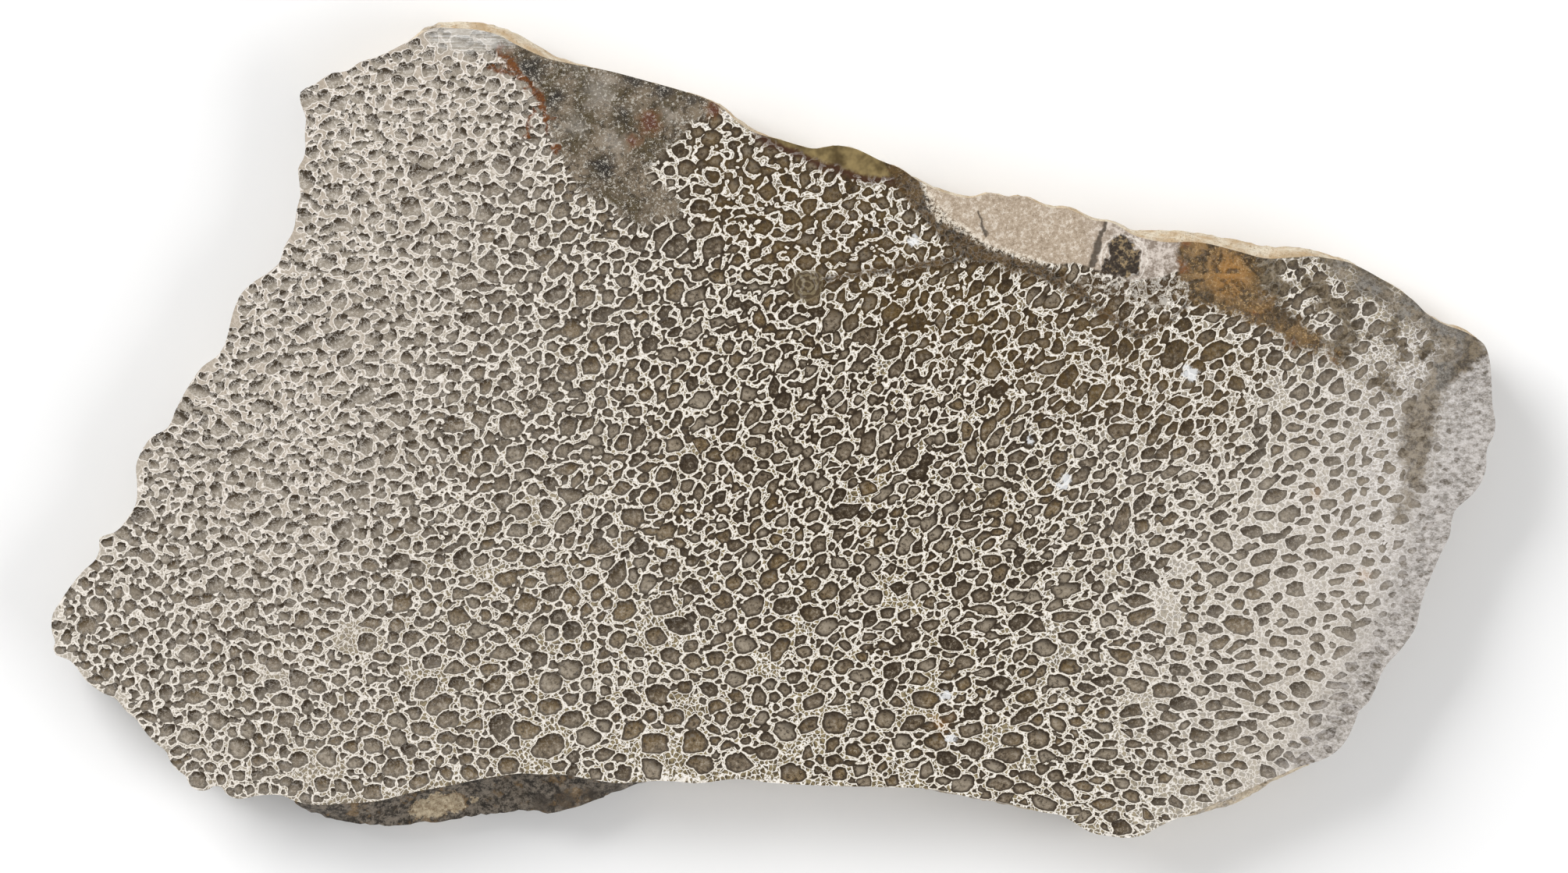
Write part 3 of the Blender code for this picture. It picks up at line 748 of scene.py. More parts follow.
def places_in_cells(corners, inner, owners, tint):
    """Where corners lie in the ellipse of their triangle's cell, and the shape of that cell."""
    nowhere, owners = owners < 0, np.maximum(owners, 0)
    cell = inner[owners]
    x, y = ((corners - cell[:, None, :2]) / cell[:, None, 2:3]).transpose(2, 0, 1)
    cosine, sine, longer = np.cos(cell[:, None, 4]), np.sin(cell[:, None, 4]), np.sqrt(cell[:, None, 3])
    along, across = (x * cosine + y * sine) / longer, (y * cosine - x * sine) * longer
    in_cell = np.stack((along * cosine - across * sine, along * sine + across * cosine,
                        np.broadcast_to(tint[owners, None], along.shape)), axis=-1)
    in_cell[nowhere] = (0, 0, 0.5)
    zone = zone_values(*inner[:, :2].T)
    shape = np.zeros(in_cell.shape)
    shape[..., 0] = cell[:, None, 2]
    shape[..., 1] = (zone["half_wall"] - zone["swelling"] - ROUNDING)[owners, None]
    shape[nowhere] = (0, -1, 0)
    return in_cell, shape


# %% [markdown]
# The paint also has to know where the walls are. Each point stores how far it lies inside a wall:
# less than nothing in the middle of a cell, more at a wall, most where walls meet. Between the
# points Blender blends the number. A wall that is broken through gets a number below zero, and the
# two cells share a tint.

# %% Make the upper face
# How fast bone gets deeper away from cells and where walls meet, and a broken wall's share of a cell
SLOW_RISE, MEETING_RISE, BROKEN_DEPTH = 0.3, 0.3, 0.35
# In millimetres: bone at the edge of the face, and how thin a wall has to be to break
EDGE_BONE, BREAKABLE = 0.05, 0.03
UNEVEN, UNEVEN_IN_HAZE = (-0.03, 0.05), 2.5


def marrow_face(border, cells, seed):
    """One sawn face: its places and triangles, and what the paint reads at points and corners."""
    rng = np.random.default_rng(seed)
    ring = len(border)
    inner, places = face_points(border, cells, rng)
    triangles = joined(places, ring)
    is_cell = np.zeros(len(places), bool)
    is_cell[ring:ring + len(inner)] = True
    edges = np.vstack([triangles[:, [k, (k + 1) % 3]] for k in range(3)])
    edges = np.unique(np.sort(edges[is_cell[edges].all(1)], axis=1), axis=0)
    wall_places, gap = walls_between(inner, edges - ring, rng)
    wall_number = {pair: len(places) + i for i, pair in enumerate(map(tuple, edges.tolist()))}
    first_meeting = len(places) + len(edges)
    meetings = meeting_points(inner, triangles[is_cell[triangles].all(1)] - ring)
    built, owners = cut_triangles(triangles, is_cell, wall_number, first_meeting)
    all_places = np.vstack((places, wall_places, meetings))

    zone = zone_values(*all_places.T)
    half_wall, swelling = zone["half_wall"], zone["swelling"]
    first, second = nearest_two(cells, *places.T)
    into_wall = np.maximum(SLOW_RISE * (first - swelling[:len(places)]), (first - second) / 2)
    into_wall[:ring] = np.minimum(into_wall[:ring], 0)
    into_wall[is_cell] = -inner[:, 2]
    at_meetings = MEETING_RISE * half_wall[first_meeting:]
    into_wall = np.concatenate((into_wall, np.zeros(len(edges)), at_meetings)) + half_wall
    walls = slice(len(places), first_meeting)
    uneven = 1 + UNEVEN_IN_HAZE * zone["haze"][walls]
    into_wall[walls] += uneven * rng.uniform(*UNEVEN, len(edges))
    into_wall[:ring] = np.maximum(into_wall[:ring], EDGE_BONE)

    thin = gap < swelling[walls] + BREAKABLE
    broken = thin & (rng.uniform(size=len(edges)) < zone["broken"][walls])
    a, b = (edges - ring).T
    smaller = np.minimum(inner[a, 2], inner[b, 2])
    into_wall[walls][broken] = -BROKEN_DEPTH * smaller[broken]
    tint = rng.uniform(size=len(inner))
    for i, j in zip(a[broken], b[broken]):
        tint[j] = tint[i]
    in_cell, cell_shape = places_in_cells(all_places[built], inner, owners - ring, tint)
    return {"places": all_places, "triangles": built, "into_wall": into_wall,
            "in_cell": in_cell, "cell_shape": cell_shape}


front = marrow_face(rings[0, :, :2], front_cells, seed=3)
print(len(front["triangles"]), "triangles in the upper face")

# %% [markdown]
# The back face is a second saw cut through the same bone, so it gets the same zones with cells of
# its own. The photo doesn't show it, so its smallest cells are left out.

# %% Make the back face
back_cells, _, _ = pack_cells(rings[-1, :, :2], seed=11, with_large=False, smallest=0.5)
back = marrow_face(rings[-1, :, :2], back_cells, seed=5)
print(len(back["triangles"]), "triangles in the back face")

# %% [markdown]
# ## One closed mesh
#
# The two faces and the rings of the rim share their edge points, so the slab is one closed mesh,
# as one stone has to be.

# %% Join the two faces and the rim
first_back = len(front["places"])
first_rim = first_back + len(back["places"])
inner_rings = rings[1:-1].reshape(-1, 3)
places = np.vstack((
    np.column_stack((front["places"], np.full(first_back, THICKNESS))),
    np.column_stack((back["places"], np.zeros(len(back["places"])))),
    inner_rings,
))


def ring_point(level, i):
    """The number of the point in a ring of the rim. The first and last rings are the faces' edges."""
    if level == 0:
        return i % around
    if level == len(LEVELS) - 1:
        return first_back + i % around
    return first_rim + (level - 1) * around + i % around


quads = [(ring_point(level, i), ring_point(level, i + 1),
          ring_point(level + 1, i + 1), ring_point(level + 1, i))
         for level in range(len(LEVELS) - 1) for i in range(around)]
faces = front["triangles"].tolist() + (first_back + back["triangles"][:, ::-1]).tolist() + quads
mesh = bpy.data.meshes.new("bone_slab_stone")
metres = places * 0.001
metres[:, :2] = (places[:, :2] - middle) * to_metres
mesh.from_pydata(metres.tolist(), [], faces)
print(len(mesh.vertices), "points and", len(mesh.polygons), "faces")

# %% [markdown]
# When the slab's colours are baked into an image, a UV map of its own says where each face lands.
# The upper face gets the most room. The rim is unrolled into four rows beside the back face.

# %% Lay the surface out for baking
# All places are shares of the image's width and height
RIM_ROWS, RIM_LEFT, RIM_LENGTH = 4, 0.62, 0.37
RIM_TOP, ROW_HEIGHT, RIM_HEIGHT = 0.40, 0.05, 0.04
FRONT_SCALE, FRONT_CORNER = 0.99, (0.005, 0.425)
BACK_SCALE, BACK_CORNER = 0.6, (0.005, 0.03)

rim_uvs = []
per_row = math.ceil(around / RIM_ROWS)
for level in range(len(LEVELS) - 1):
    for i in range(around):
        row, column = divmod(i, per_row)
        left, right = (RIM_LEFT + RIM_LENGTH * at / per_row for at in (column, column + 1))
        top, bottom = (RIM_TOP - ROW_HEIGHT * row - RIM_HEIGHT * at for at in LEVELS[level:level + 2])
        rim_uvs += ((left, top), (right, top), (right, bottom), (left, bottom))
corner = np.zeros(len(mesh.loops), int)
mesh.loops.foreach_get("vertex_index", corner)
front_end = 3 * len(front["triangles"])
back_end = front_end + 3 * len(back["triangles"])
plan = ((places[:, :2] - low[:2]) / (high - low)[0])[corner]
uvs = np.vstack((plan[:front_end] * FRONT_SCALE + FRONT_CORNER,
                 plan[front_end:back_end] * BACK_SCALE + BACK_CORNER, rim_uvs))
mesh.uv_layers.new(name="OFBake").data.foreach_set("uv", uvs.ravel())
print("The rim takes", RIM_ROWS, "rows of", per_row, "sections")

# %% [markdown]
# What the paint needs to know is stored on the mesh as named attributes: the marrow at points and
# corners, the depth in each patch, and how pitted, skinned or muddy the rim is. The patches go
# through the stone, so the back face has them too, a little shifted.

# %% Store what the paint reads
# How far patches have shifted at the back, and how far from the faces the relief is in full
BACK_SHIFT, RELIEF_FADE = 0.8, 0.5
# Half walls from which bone begins to look dense, and looks wholly dense
DENSE_RANGE = (0.12, 0.28)


def store(name, values, domain="POINT"):
    mesh.attributes.new(name, "FLOAT", domain).data.foreach_set("value", np.asarray(values, np.float32))


x = places[:, 0] + np.where(places[:, 2] < 0.5 * THICKNESS, BACK_SHIFT, 0.0)
for name in (*POLYGONS, *LINES, *SPOTS):
    store(name, patch_depth(x, places[:, 1], name))
zone = zone_values(*places[:, :2].T)
store("bubbles", zone["bubbles"])
# the haze: painted sheen that pales the paint, and wobblier walls
store("haze", zone["haze"])
store("dense", np.clip((zone["half_wall"] - DENSE_RANGE[0]) / (DENSE_RANGE[1] - DENSE_RANGE[0]), 0, 1))
all_wall = np.full(len(inner_rings), 0.5)
store("into_wall", np.concatenate((front["into_wall"], back["into_wall"], all_wall)))
for name, rim_value in (("in_cell", (0, 0, 0.5)), ("cell_shape", (0, -1, 0))):
    corners = np.vstack((front[name].reshape(-1, 3), back[name][:, ::-1].reshape(-1, 3),
                         np.tile(rim_value, (4 * len(quads), 1))))
    mesh.attributes.new(name, "FLOAT_VECTOR", "CORNER").data.foreach_set(
        "vector", corners.astype(np.float32).ravel())

store("on_rim", np.arange(len(faces)) >= len(faces) - len(quads), "FACE")
relief = np.zeros(len(places))
from_face = np.minimum(places[:, 2], THICKNESS - places[:, 2])
relief[first_rim:] = np.clip(from_face[first_rim:] / RELIEF_FADE, 0, 1)
store("relief", relief)
kinds = np.zeros((len(places), 3))
kinds[:around] = kinds[first_back:first_back + around] = curve[:, 3:6]
kinds[first_rim:] = np.tile(curve[:, 3:6], (len(LEVELS) - 2, 1))
for column, name in enumerate(("pitting", "skin", "grey_matrix")):
    store(name, kinds[:, column])
mesh.validate()
slab = bpy.data.objects.new("bone_slab_stone", mesh)
bpy.context.scene.collection.objects.link(slab)
print(len(mesh.attributes), "attributes")

# %% [markdown]
# ## Relief on the rim
#
# A break through fossil marrow is rough at a scale that sections can't carry. Geometry Nodes push
# the rim inwards where a broken cell is, and add a fine grain. All node trees of this lesson are
# written with one helper class, because a tree of sixty nodes made call by call can't be read.

# %% Write a helper for node trees
def colour(code):
    """A web colour code as the linear values that Blender wants."""
    parts = [int(code[i:i + 2], 16) / 255 for i in (1, 3, 5)]
    linear = [p / 12.92 if p <= 0.04045 else ((p + 0.055) / 1.055) ** 2.4 for p in parts]
    return (*linear, 1.0)


class Nodes:
    """Adds nodes to one tree. Each short name adds one and gives back its output."""

    def __init__(self, tree):
        self.tree = tree

    def add(self, kind, inputs=None, **settings):
        node = self.tree.nodes.new(kind)
        for name, value in settings.items():
            setattr(node, name, value)
        for name, value in (inputs or {}).items():
            if isinstance(value, bpy.types.NodeSocket):
                self.tree.links.new(value, node.inputs[name])
            else:
                node.inputs[name].default_value = value
        return node

    def group(self, tree, inputs):
        return self.add("ShaderNodeGroup", inputs, node_tree=tree).outputs

    def math(self, operation, a, b=0.0, c=0.0):
        return self.add("ShaderNodeMath", {0: a, 1: b, 2: c}, operation=operation).outputs[0]

    def vector(self, operation, a, b=(0.0, 0.0, 0.0)):
        return self.add("ShaderNodeVectorMath", {0: a, 1: b}, operation=operation).outputs[0]

    def scaled(self, a, factor):
        return self.add("ShaderNodeVectorMath", {0: a, "Scale": factor}, operation="SCALE").outputs[0]

    def length(self, a):
        return self.add("ShaderNodeVectorMath", {0: a}, operation="LENGTH").outputs["Value"]

    def mapped(self, place, turn, scale):
        inputs = {"Vector": place, "Rotation": (0, 0, turn), "Scale": scale}
        return self.add("ShaderNodeMapping", inputs).outputs[0]

    def share(self, value, start, end):
        """Goes smoothly from 0 to 1 as the value goes from start to end."""
        limits = {"Value": value, "From Min": start, "From Max": end}
        return self.add("ShaderNodeMapRange", limits, interpolation_type="SMOOTHSTEP").outputs[0]

    def noise(self, place, scale, detail=2.0, roughness=0.5, distortion=0.0):
        inputs = {"Vector": place, "Scale": scale, "Detail": detail, "Roughness": roughness,
                  "Distortion": distortion}
        return self.add("ShaderNodeTexNoise", inputs).outputs["Fac"]

    def cell_edges(self, place, scale):
        """The distance of a place from the border of a Voronoi cell."""
        inputs = {"Vector": place, "Scale": scale}
        return self.add("ShaderNodeTexVoronoi", inputs, feature="DISTANCE_TO_EDGE").outputs["Distance"]

    def mix(self, factor, a, b):
        """Mixes two colours, each an output or a colour code."""
        a, b = (colour(paint) if isinstance(paint, str) else paint for paint in (a, b))
        return self.add("ShaderNodeMix", {0: factor, 6: a, 7: b}, data_type="RGBA").outputs[2]

    def over(self, paint, mask, strength, new):
        """Lays a new paint over another where the mask is, this strongly."""
        return self.mix(self.math("MULTIPLY", mask, strength), paint, new)

    def layers(self, paint, *layers):
        """Lays several paints over another, each given as its mask, its strength and its colour."""
        for mask, strength, new in layers:
            paint = self.over(paint, mask, strength, new)
        return paint

    def attribute(self, name, output="Fac"):
        return self.add("ShaderNodeAttribute", attribute_name=name).outputs[output]


# %% [markdown]
# The tree has its sizes as named inputs, so the same stone could be made fresher or more worn. A
# displacement modifier would push the rim too, but reads one texture only. The tree also stores
# how deep each point went, and the paint later darkens these pits as painted shade.

# %% Build the relief tree
sawn_face = bpy.data.materials.new("sawn_face")
rough_rim = bpy.data.materials.new("rough_rim")
# The modifier works on the mesh, which is in metres
RELIEF = {"Pit depth": 0.0005, "Pit size": 0.0017, "Grain depth": 0.00022, "Grain size": 0.0009}


def relief_tree():
    tree = bpy.data.node_groups.new("rim_relief", "GeometryNodeTree")
    tree.interface.new_socket(name="Geometry", in_out="INPUT", socket_type="NodeSocketGeometry")
    for name, value in RELIEF.items():
        socket = tree.interface.new_socket(name=name, in_out="INPUT", socket_type="NodeSocketFloat")
        socket.default_value = value
    tree.interface.new_socket(name="Seed", in_out="INPUT", socket_type="NodeSocketInt")
    tree.interface.new_socket(name="Geometry", in_out="OUTPUT", socket_type="NodeSocketGeometry")

    n = Nodes(tree)
    given = n.add("NodeGroupInput").outputs
    seed_shift = n.add("ShaderNodeCombineXYZ", {"Z": given["Seed"]}).outputs[0]
    place = n.add("GeometryNodeInputPosition").outputs[0]

    def named(name):
        return n.add("GeometryNodeInputNamedAttribute", {"Name": name}, data_type="FLOAT").outputs[0]

    def in_sizes(size):
        return n.vector("ADD", n.scaled(place, n.math("DIVIDE", 1.0, given[size])), seed_shift)

    pit = n.share(n.cell_edges(in_sizes("Pit size"), 1.0), 0.05, 0.35)
    pit = n.math("MULTIPLY", pit, named("pitting"))
    grain = n.noise(in_sizes("Grain size"), 1.0, 3.0, 0.6)
    pit_push = n.math("MULTIPLY", pit, given["Pit depth"])
    push = n.math("MULTIPLY_ADD", grain, given["Grain depth"], pit_push)
    push = n.math("MULTIPLY", push, named("relief"))
    inwards = n.scaled(n.add("GeometryNodeInputNormal").outputs[0], n.math("MULTIPLY", push, -1.0))
    moved = n.add("GeometryNodeSetPosition", {"Geometry": given["Geometry"], "Offset": inwards})
    stored = n.add("GeometryNodeStoreNamedAttribute",
                   {"Geometry": moved.outputs[0], "Name": "pit", "Value": pit}, data_type="FLOAT")
    made_real = n.add("GeometryNodeRealizeInstances", {"Geometry": stored.outputs[0]})
    faces = n.add("GeometryNodeSetMaterial", {"Geometry": made_real.outputs[0], "Material": sawn_face})
    rim = n.add("GeometryNodeSetMaterial", {"Geometry": faces.outputs[0], "Material": rough_rim,
                                            "Selection": n.math("GREATER_THAN", named("on_rim"), 0.5)})
    n.add("NodeGroupOutput", {"Geometry": rim.outputs[0]})
    return tree


# %% [markdown]
# The mesh is replaced by what the modifier gives, so that the next step can sort the faces by the
# material that the tree gave them.

# %% Put the relief on the rim
tree = relief_tree()
modifier = slab.modifiers.new("relief", "NODES")
modifier.node_group = tree
sockets = [item for item in tree.interface.items_tree if item.in_out == "INPUT"]
identifiers = {socket.name: socket.identifier for socket in sockets}
for name, value in {**RELIEF, "Seed": 4}.items():
    modifier[identifiers[name]] = value
depsgraph = bpy.context.evaluated_depsgraph_get()
slab.data = bpy.data.meshes.new_from_object(slab.evaluated_get(depsgraph), preserve_all_data_layers=True,
                                            depsgraph=depsgraph)
slab.modifiers.remove(modifier)
slab.data.name = "bone_slab_stone"
print("Materials on the slab:", [material.name for material in slab.data.materials])

# %% [markdown]
# The saw left a crisp border between faces and rim. The rim itself is shaded smooth, so that its
# triangles don't show.

# %% Shade the rim smooth and keep its edges sharp
smooth = np.array([polygon.material_index for polygon in slab.data.polygons]) > 0
slab.data.polygons.foreach_set("use_smooth", smooth)
slab.data.set_sharp_from_angle(angle=math.radians(50))
print(smooth.sum(), "smooth faces")

# %% [markdown]
# ## Colours and node groups
#
# The colours are written as web colour codes that the helper class converts.
#
# Both the sawn faces and the broken rim show the same petrified marrow, so its paint is a node
# group: it takes how deep a place lies inside a wall and gives back a colour. Groups hold only
# colours and masks. The shaders stay in the materials.

# %% Build the group for marrow
FLOAT, VECTOR, COLOR = "NodeSocketFloat", "NodeSocketVector", "NodeSocketColor"


def new_group(name, inputs, outputs):
    group = bpy.data.node_groups.new(name, "ShaderNodeTree")
    for title, kind, value in inputs:
        socket = group.interface.new_socket(name=title, in_out="INPUT", socket_type=kind)
        if value is not None:
            socket.default_value = value
    for title, kind in outputs:
        group.interface.new_socket(name=title, in_out="OUTPUT", socket_type=kind)
    nodes = Nodes(group)
    return group, nodes, nodes.add("NodeGroupInput").outputs


def wall_depth(n, given):
    """How deep a place lies in a wall, with a fine and a broad wobble."""
    fine = n.noise(given["Place"], 2.2, 3.0, 0.6)
    broad = n.math("SUBTRACT", n.noise(given["Place"], 0.9, 1.0), 0.5)
    loose = n.math("MULTIPLY_ADD", given["Haze"], 0.55, 0.34)
    loose = n.math("MULTIPLY_ADD", given["Dense"], 0.85, loose)
    wobble = n.math("MULTIPLY_ADD", fine, 0.36, n.math("MULTIPLY_ADD", broad, loose, -0.18))
    radii = n.length(n.vector("MULTIPLY", given["In Cell"], (1, 1, 0)))
    shape = n.add("ShaderNodeSeparateXYZ", {0: given["Cell Shape"]}).outputs
    outside = n.math("MULTIPLY_ADD", n.math("SUBTRACT", radii, 1.0), shape["X"], shape["Y"])
    return n.math("ADD", n.math("MAXIMUM", given["Into Wall"], outside), wobble)


def filling_paint(n, given, depth, mottle):
    """Agate in a cell: darkest along its wall, mottled in the middle, each cell a bit different."""
    place, haze = given["Place"], given["Haze"]
    cell = n.add("ShaderNodeSeparateXYZ", {0: given["In Cell"]}).outputs
    # Painted shade: each cell is darker on its upper side, tilted by its tint and broken by the mottle
    lean = n.math("MULTIPLY_ADD", cell["Z"], 1.6, -0.8)
    side = n.math("MULTIPLY_ADD", cell["X"], lean, cell["Y"])
    side = n.math("ADD", side, n.math("MULTIPLY_ADD", mottle, 2.6, -1.3))
    rich = n.mix(n.share(n.noise(place, 0.16, 2.0), 0.42, 0.6), "#665948", "#6b583a")
    rich = n.mix(n.share(cell["Z"], 0.55, 1.0), rich, "#857a6a")
    rich = n.mix(n.share(cell["Z"], 0.35, 0.0), rich, "#3a2e1e")
    rich = n.over(rich, n.share(mottle, 0.5, 0.62), 0.75, "#9b9080")
    rich = n.over(rich, n.share(mottle, 0.49, 0.39), 0.9, "#251a0e")
    rich = n.mix(n.share(depth, -0.40, -0.06), rich, "#2b2013")
    # painted shade on that side of the cell
    rich = n.over(rich, n.share(side, 0.2, 1.0), 0.7, "#251b10")
    # under the haze the fill runs from grey to dark across each cell: painted shade on one side
    faint = n.mix(n.share(side, -0.45, 0.5), "#948b7e", "#32281b")
    faint = n.over(faint, n.share(mottle, 0.52, 0.6), 0.6, "#c8c0b6")
    faint = n.over(faint, n.share(mottle, 0.44, 0.36), 0.5, "#4b4133")
    # where the haze of painted sheen lies, faint worm-like lines cross the cells
    ridge = n.math("ABSOLUTE", n.math("SUBTRACT", n.noise(place, 1.5, 2.0, 0.6), 0.5))
    faint = n.over(faint, n.share(ridge, 0.03, 0.01), 0.42, "#ddd6cc")
    # the haze lays the faint paint over the cells, paler and lower in contrast: a painted sheen
    fill = n.mix(haze, rich, faint)
    return n.over(fill, given["Dense"], 0.35, "#958c80")


def bone_paint(n, given, depth):
    """Bone: white within and tan where it thins out; under the haze's painted sheen, beige with a bright
    border.
    """
    place, haze = given["Place"], given["Haze"]
    bone = n.mix(n.share(depth, 0.0, 0.07), "#b5a78d", "#e8e3db")
    hazy_bone = n.mix(n.share(depth, 0.04, 0.16), "#e4ddd5", "#b5a99b")
    bone = n.mix(haze, bone, hazy_bone)
    bone = n.over(bone, n.share(n.noise(place, 3.2, 4.0, 0.75), 0.48, 0.66), 0.5, "#a3998b")
    # dense bone of the outer wall: streaked, with tiny dark flecks
    streaked = n.noise(n.mapped(place, 0.32, (0.9, 1.6, 1.0)), 2.0, 5.0, 0.8)
    dense_bone = n.mix(n.share(streaked, 0.42, 0.62), "#d8d3ce", "#b3ada7")
    dense_bone = n.mix(n.share(streaked, 0.58, 0.64), dense_bone, "#867e76")
    return n.mix(given["Dense"], bone, dense_bone)


def marrow_group():
    group, n, given = new_group(
        "marrow",
        (("Place", VECTOR, None), ("Into Wall", FLOAT, 0.0), ("Bubbles", FLOAT, 0.5),
         ("Haze", FLOAT, 0.0), ("Dense", FLOAT, 0.0), ("In Cell", VECTOR, None),
         ("Cell Shape", VECTOR, (0.0, -1.0, 0.0))),
        (("Color", COLOR), ("Wall", FLOAT)),
    )
    place, depth = given["Place"], wall_depth(n, given)
    mottle = n.noise(place, 2.2, 5.0, 0.8)
    # where much bone lies together it is a sponge of tiny bubbles
    warp = n.add("ShaderNodeTexNoise", {"Vector": place, "Scale": 1.4}).outputs["Color"]
    bubble = n.share(n.cell_edges(n.vector("ADD", place, n.scaled(warp, 0.9)), 1.85), 0.04, 0.11)
    bubble = n.math("MULTIPLY", bubble, n.share(depth, 0.085, 0.14))
    bubble = n.math("MULTIPLY", bubble, given["Bubbles"])
    hole = n.mix(n.share(mottle, 0.42, 0.58), "#3b3020", "#8a7c5c")
    # under the haze's painted sheen the holes are paler
    hole = n.mix(given["Haze"], hole, "#857b6c")
    wall = n.share(depth, -0.03, 0.03)
    solid = n.math("MULTIPLY", wall, n.math("SUBTRACT", 1.0, bubble))
    paint = n.mix(bubble, bone_paint(n, given, depth), hole)
    paint = n.mix(wall, filling_paint(n, given, depth, mottle), paint)
    n.add("NodeGroupOutput", {"Color": paint, "Wall": solid})
    return group


marrow = marrow_group()
print(len(marrow.nodes), "nodes in the group", marrow.name)

# %% [markdown]
# A second group makes the fine grain of stone, with a few specks in it.

# %% Build the group for grain
def grain_group():
    group, n, given = new_group(
        "stone_grain",
        (("Place", VECTOR, None), ("Size", FLOAT, 1.0)),
        (("Grain", FLOAT), ("Specks", FLOAT)),
    )
    fine_place = n.scaled(given["Place"], n.math("DIVIDE", 1.0, given["Size"]))
    grain = n.noise(fine_place, 4.0, 4.0, 0.7)
    specks = n.share(n.noise(fine_place, 9.0, 2.0, 0.6), 0.66, 0.72)
    n.add("NodeGroupOutput", {"Grain": grain, "Specks": specks})
    return group


stone_grain = grain_group()
print(len(stone_grain.nodes), "nodes in the group", stone_grain.name)

# %% [markdown]
# Some marks are finer than the triangles of the mesh, so their depth can't be stored at its points.
# Two more groups measure it in the shader: from a ragged spot, and from a ragged streak.

# %% Build the groups for spots and streaks
def warped(n, place, scale, ragged):
    """Steps by which noise moves a place, this far at most."""
    warp = n.add("ShaderNodeTexNoise", {"Vector": place, "Scale": scale}).outputs["Color"]
    return n.scaled(n.vector("SUBTRACT", warp, (0.5, 0.5, 0.5)), ragged)


def spot_group():
    group, n, given = new_group(
        "spot",
        (("Place", VECTOR, None), ("Middle", VECTOR, None), ("Radius", FLOAT, 1.0),
         ("Ragged", FLOAT, 0.8)),
        (("Depth", FLOAT),),
    )
    warp = warped(n, given["Place"], 0.8, given["Ragged"])
    away = n.vector("ADD", n.vector("SUBTRACT", given["Place"], given["Middle"]), warp)
    distance = n.length(n.vector("MULTIPLY", away, (1, 1, 0)))
    ragged = n.math("SUBTRACT", n.noise(given["Place"], 2.2, 4.0, 0.7), 0.5)
    depth = n.math("SUBTRACT", given["Radius"], distance)
    depth = n.math("MULTIPLY_ADD", ragged, given["Ragged"], depth)
    n.add("NodeGroupOutput", {"Depth": depth})
    return group


def streak_group():
    group, n, given = new_group(
        "streak",
        (("Place", VECTOR, None), ("From", VECTOR, None), ("To", VECTOR, None), ("Width", FLOAT, 0.3),
         ("Ragged", FLOAT, 0.6)),
        (("Depth", FLOAT),),
    )
    warp = warped(n, given["Place"], 0.9, given["Ragged"])
    place = n.vector("MULTIPLY", n.vector("ADD", given["Place"], warp), (1, 1, 0))
    line = n.vector("SUBTRACT", given["To"], given["From"])
    away = n.vector("SUBTRACT", place, given["From"])
    dots = [n.add("ShaderNodeVectorMath", {0: v, 1: line}, operation="DOT_PRODUCT").outputs["Value"]
            for v in (away, line)]
    share = n.math("MINIMUM", n.math("MAXIMUM", n.math("DIVIDE", *dots), 0.0), 1.0)
    distance = n.length(n.vector("SUBTRACT", away, n.scaled(line, share)))
    n.add("NodeGroupOutput", {"Depth": n.math("SUBTRACT", given["Width"], distance)})
    return group


spot, streak = spot_group(), streak_group()
print("Groups for marks:", spot.name, streak.name)

# %% [markdown]
# ## The sawn face
#
# The face is one polished cut through many kinds of stone, so its paint is built up in layers:
# first marrow everywhere, then each patch over it, with a border that noise frays. All patterns
# are in millimetres of the stone itself.

# %% Start the paint with marrow
def start_material(material):
    """The nodes of an emptied material, and the place in millimetres as the marks are drawn."""
    material.use_nodes = True
    material.node_tree.nodes.clear()
    n = Nodes(material.node_tree)
    place = n.add("ShaderNodeTexCoord").outputs["Object"]
    drawn = n.scaled(place, 1 / to_metres)
    return n, n.vector("ADD", drawn, (float(middle[0]), float(middle[1]), 0.0))


n, place = start_material(sawn_face)
marrow_paint = n.group(marrow, {
    "Place": place, "Into Wall": n.attribute("into_wall"), "Bubbles": n.attribute("bubbles"),
    "Haze": n.attribute("haze"), "Dense": n.attribute("dense"),
    "In Cell": n.attribute("in_cell", "Vector"), "Cell Shape": n.attribute("cell_shape", "Vector")})
grain = n.group(stone_grain, {"Place": place, "Size": 1.0})
cloud = n.noise(place, 0.4, 3.0, 0.6)
crumbs = n.noise(place, 1.5, 5.0, 0.75)
fine = n.noise(place, 3.5, 4.0, 0.75)
fray = n.math("MULTIPLY_ADD", n.noise(place, 0.8, 4.0, 0.7), 2.4, -1.2)


def patch(name, width=0.25, amount=1.0, shift=0.0):
    """A mask of a patch, with a border of this half width that is frayed and shifted outwards."""
    depth = n.math("ADD", n.attribute(name), n.math("MULTIPLY_ADD", fray, amount, shift))
    return n.share(depth, -width, width)


paint = marrow_paint["Color"]
print("Marrow everywhere:", len(n.tree.nodes), "nodes")

# %% [markdown]
# Iron browned the filling of the cells near the dark vein. The outer wall of the bone is compact,
# lilac grey, with short dark flecks. A darker band parts it from the marrow, and smoky agate fills
# the upper corner, with islands of bone in it.

# %% Paint the bone's outer wall and what lies beside it
fill = n.math("SUBTRACT", 1.0, marrow_paint["Wall"])
iron = n.mix(n.share(crumbs, 0.4, 0.6), "#5c4721", "#2a1c0a")
paint = n.over(paint, n.math("MULTIPLY", fill, patch("browned", 3.0, 2.0)), 0.45, iron)

flecks = n.noise(n.mapped(place, 0.32, (0.95, 1.5, 1.0)), 1.3, 5.0, 0.8)
compact = n.mix(n.share(flecks, 0.4, 0.56), "#bcb7b4", "#7f7974")
compact = n.mix(n.share(flecks, 0.55, 0.59), compact, "#4f4a44")
paint = n.over(paint, patch("compact", 2.6, 1.2), 0.65, compact)

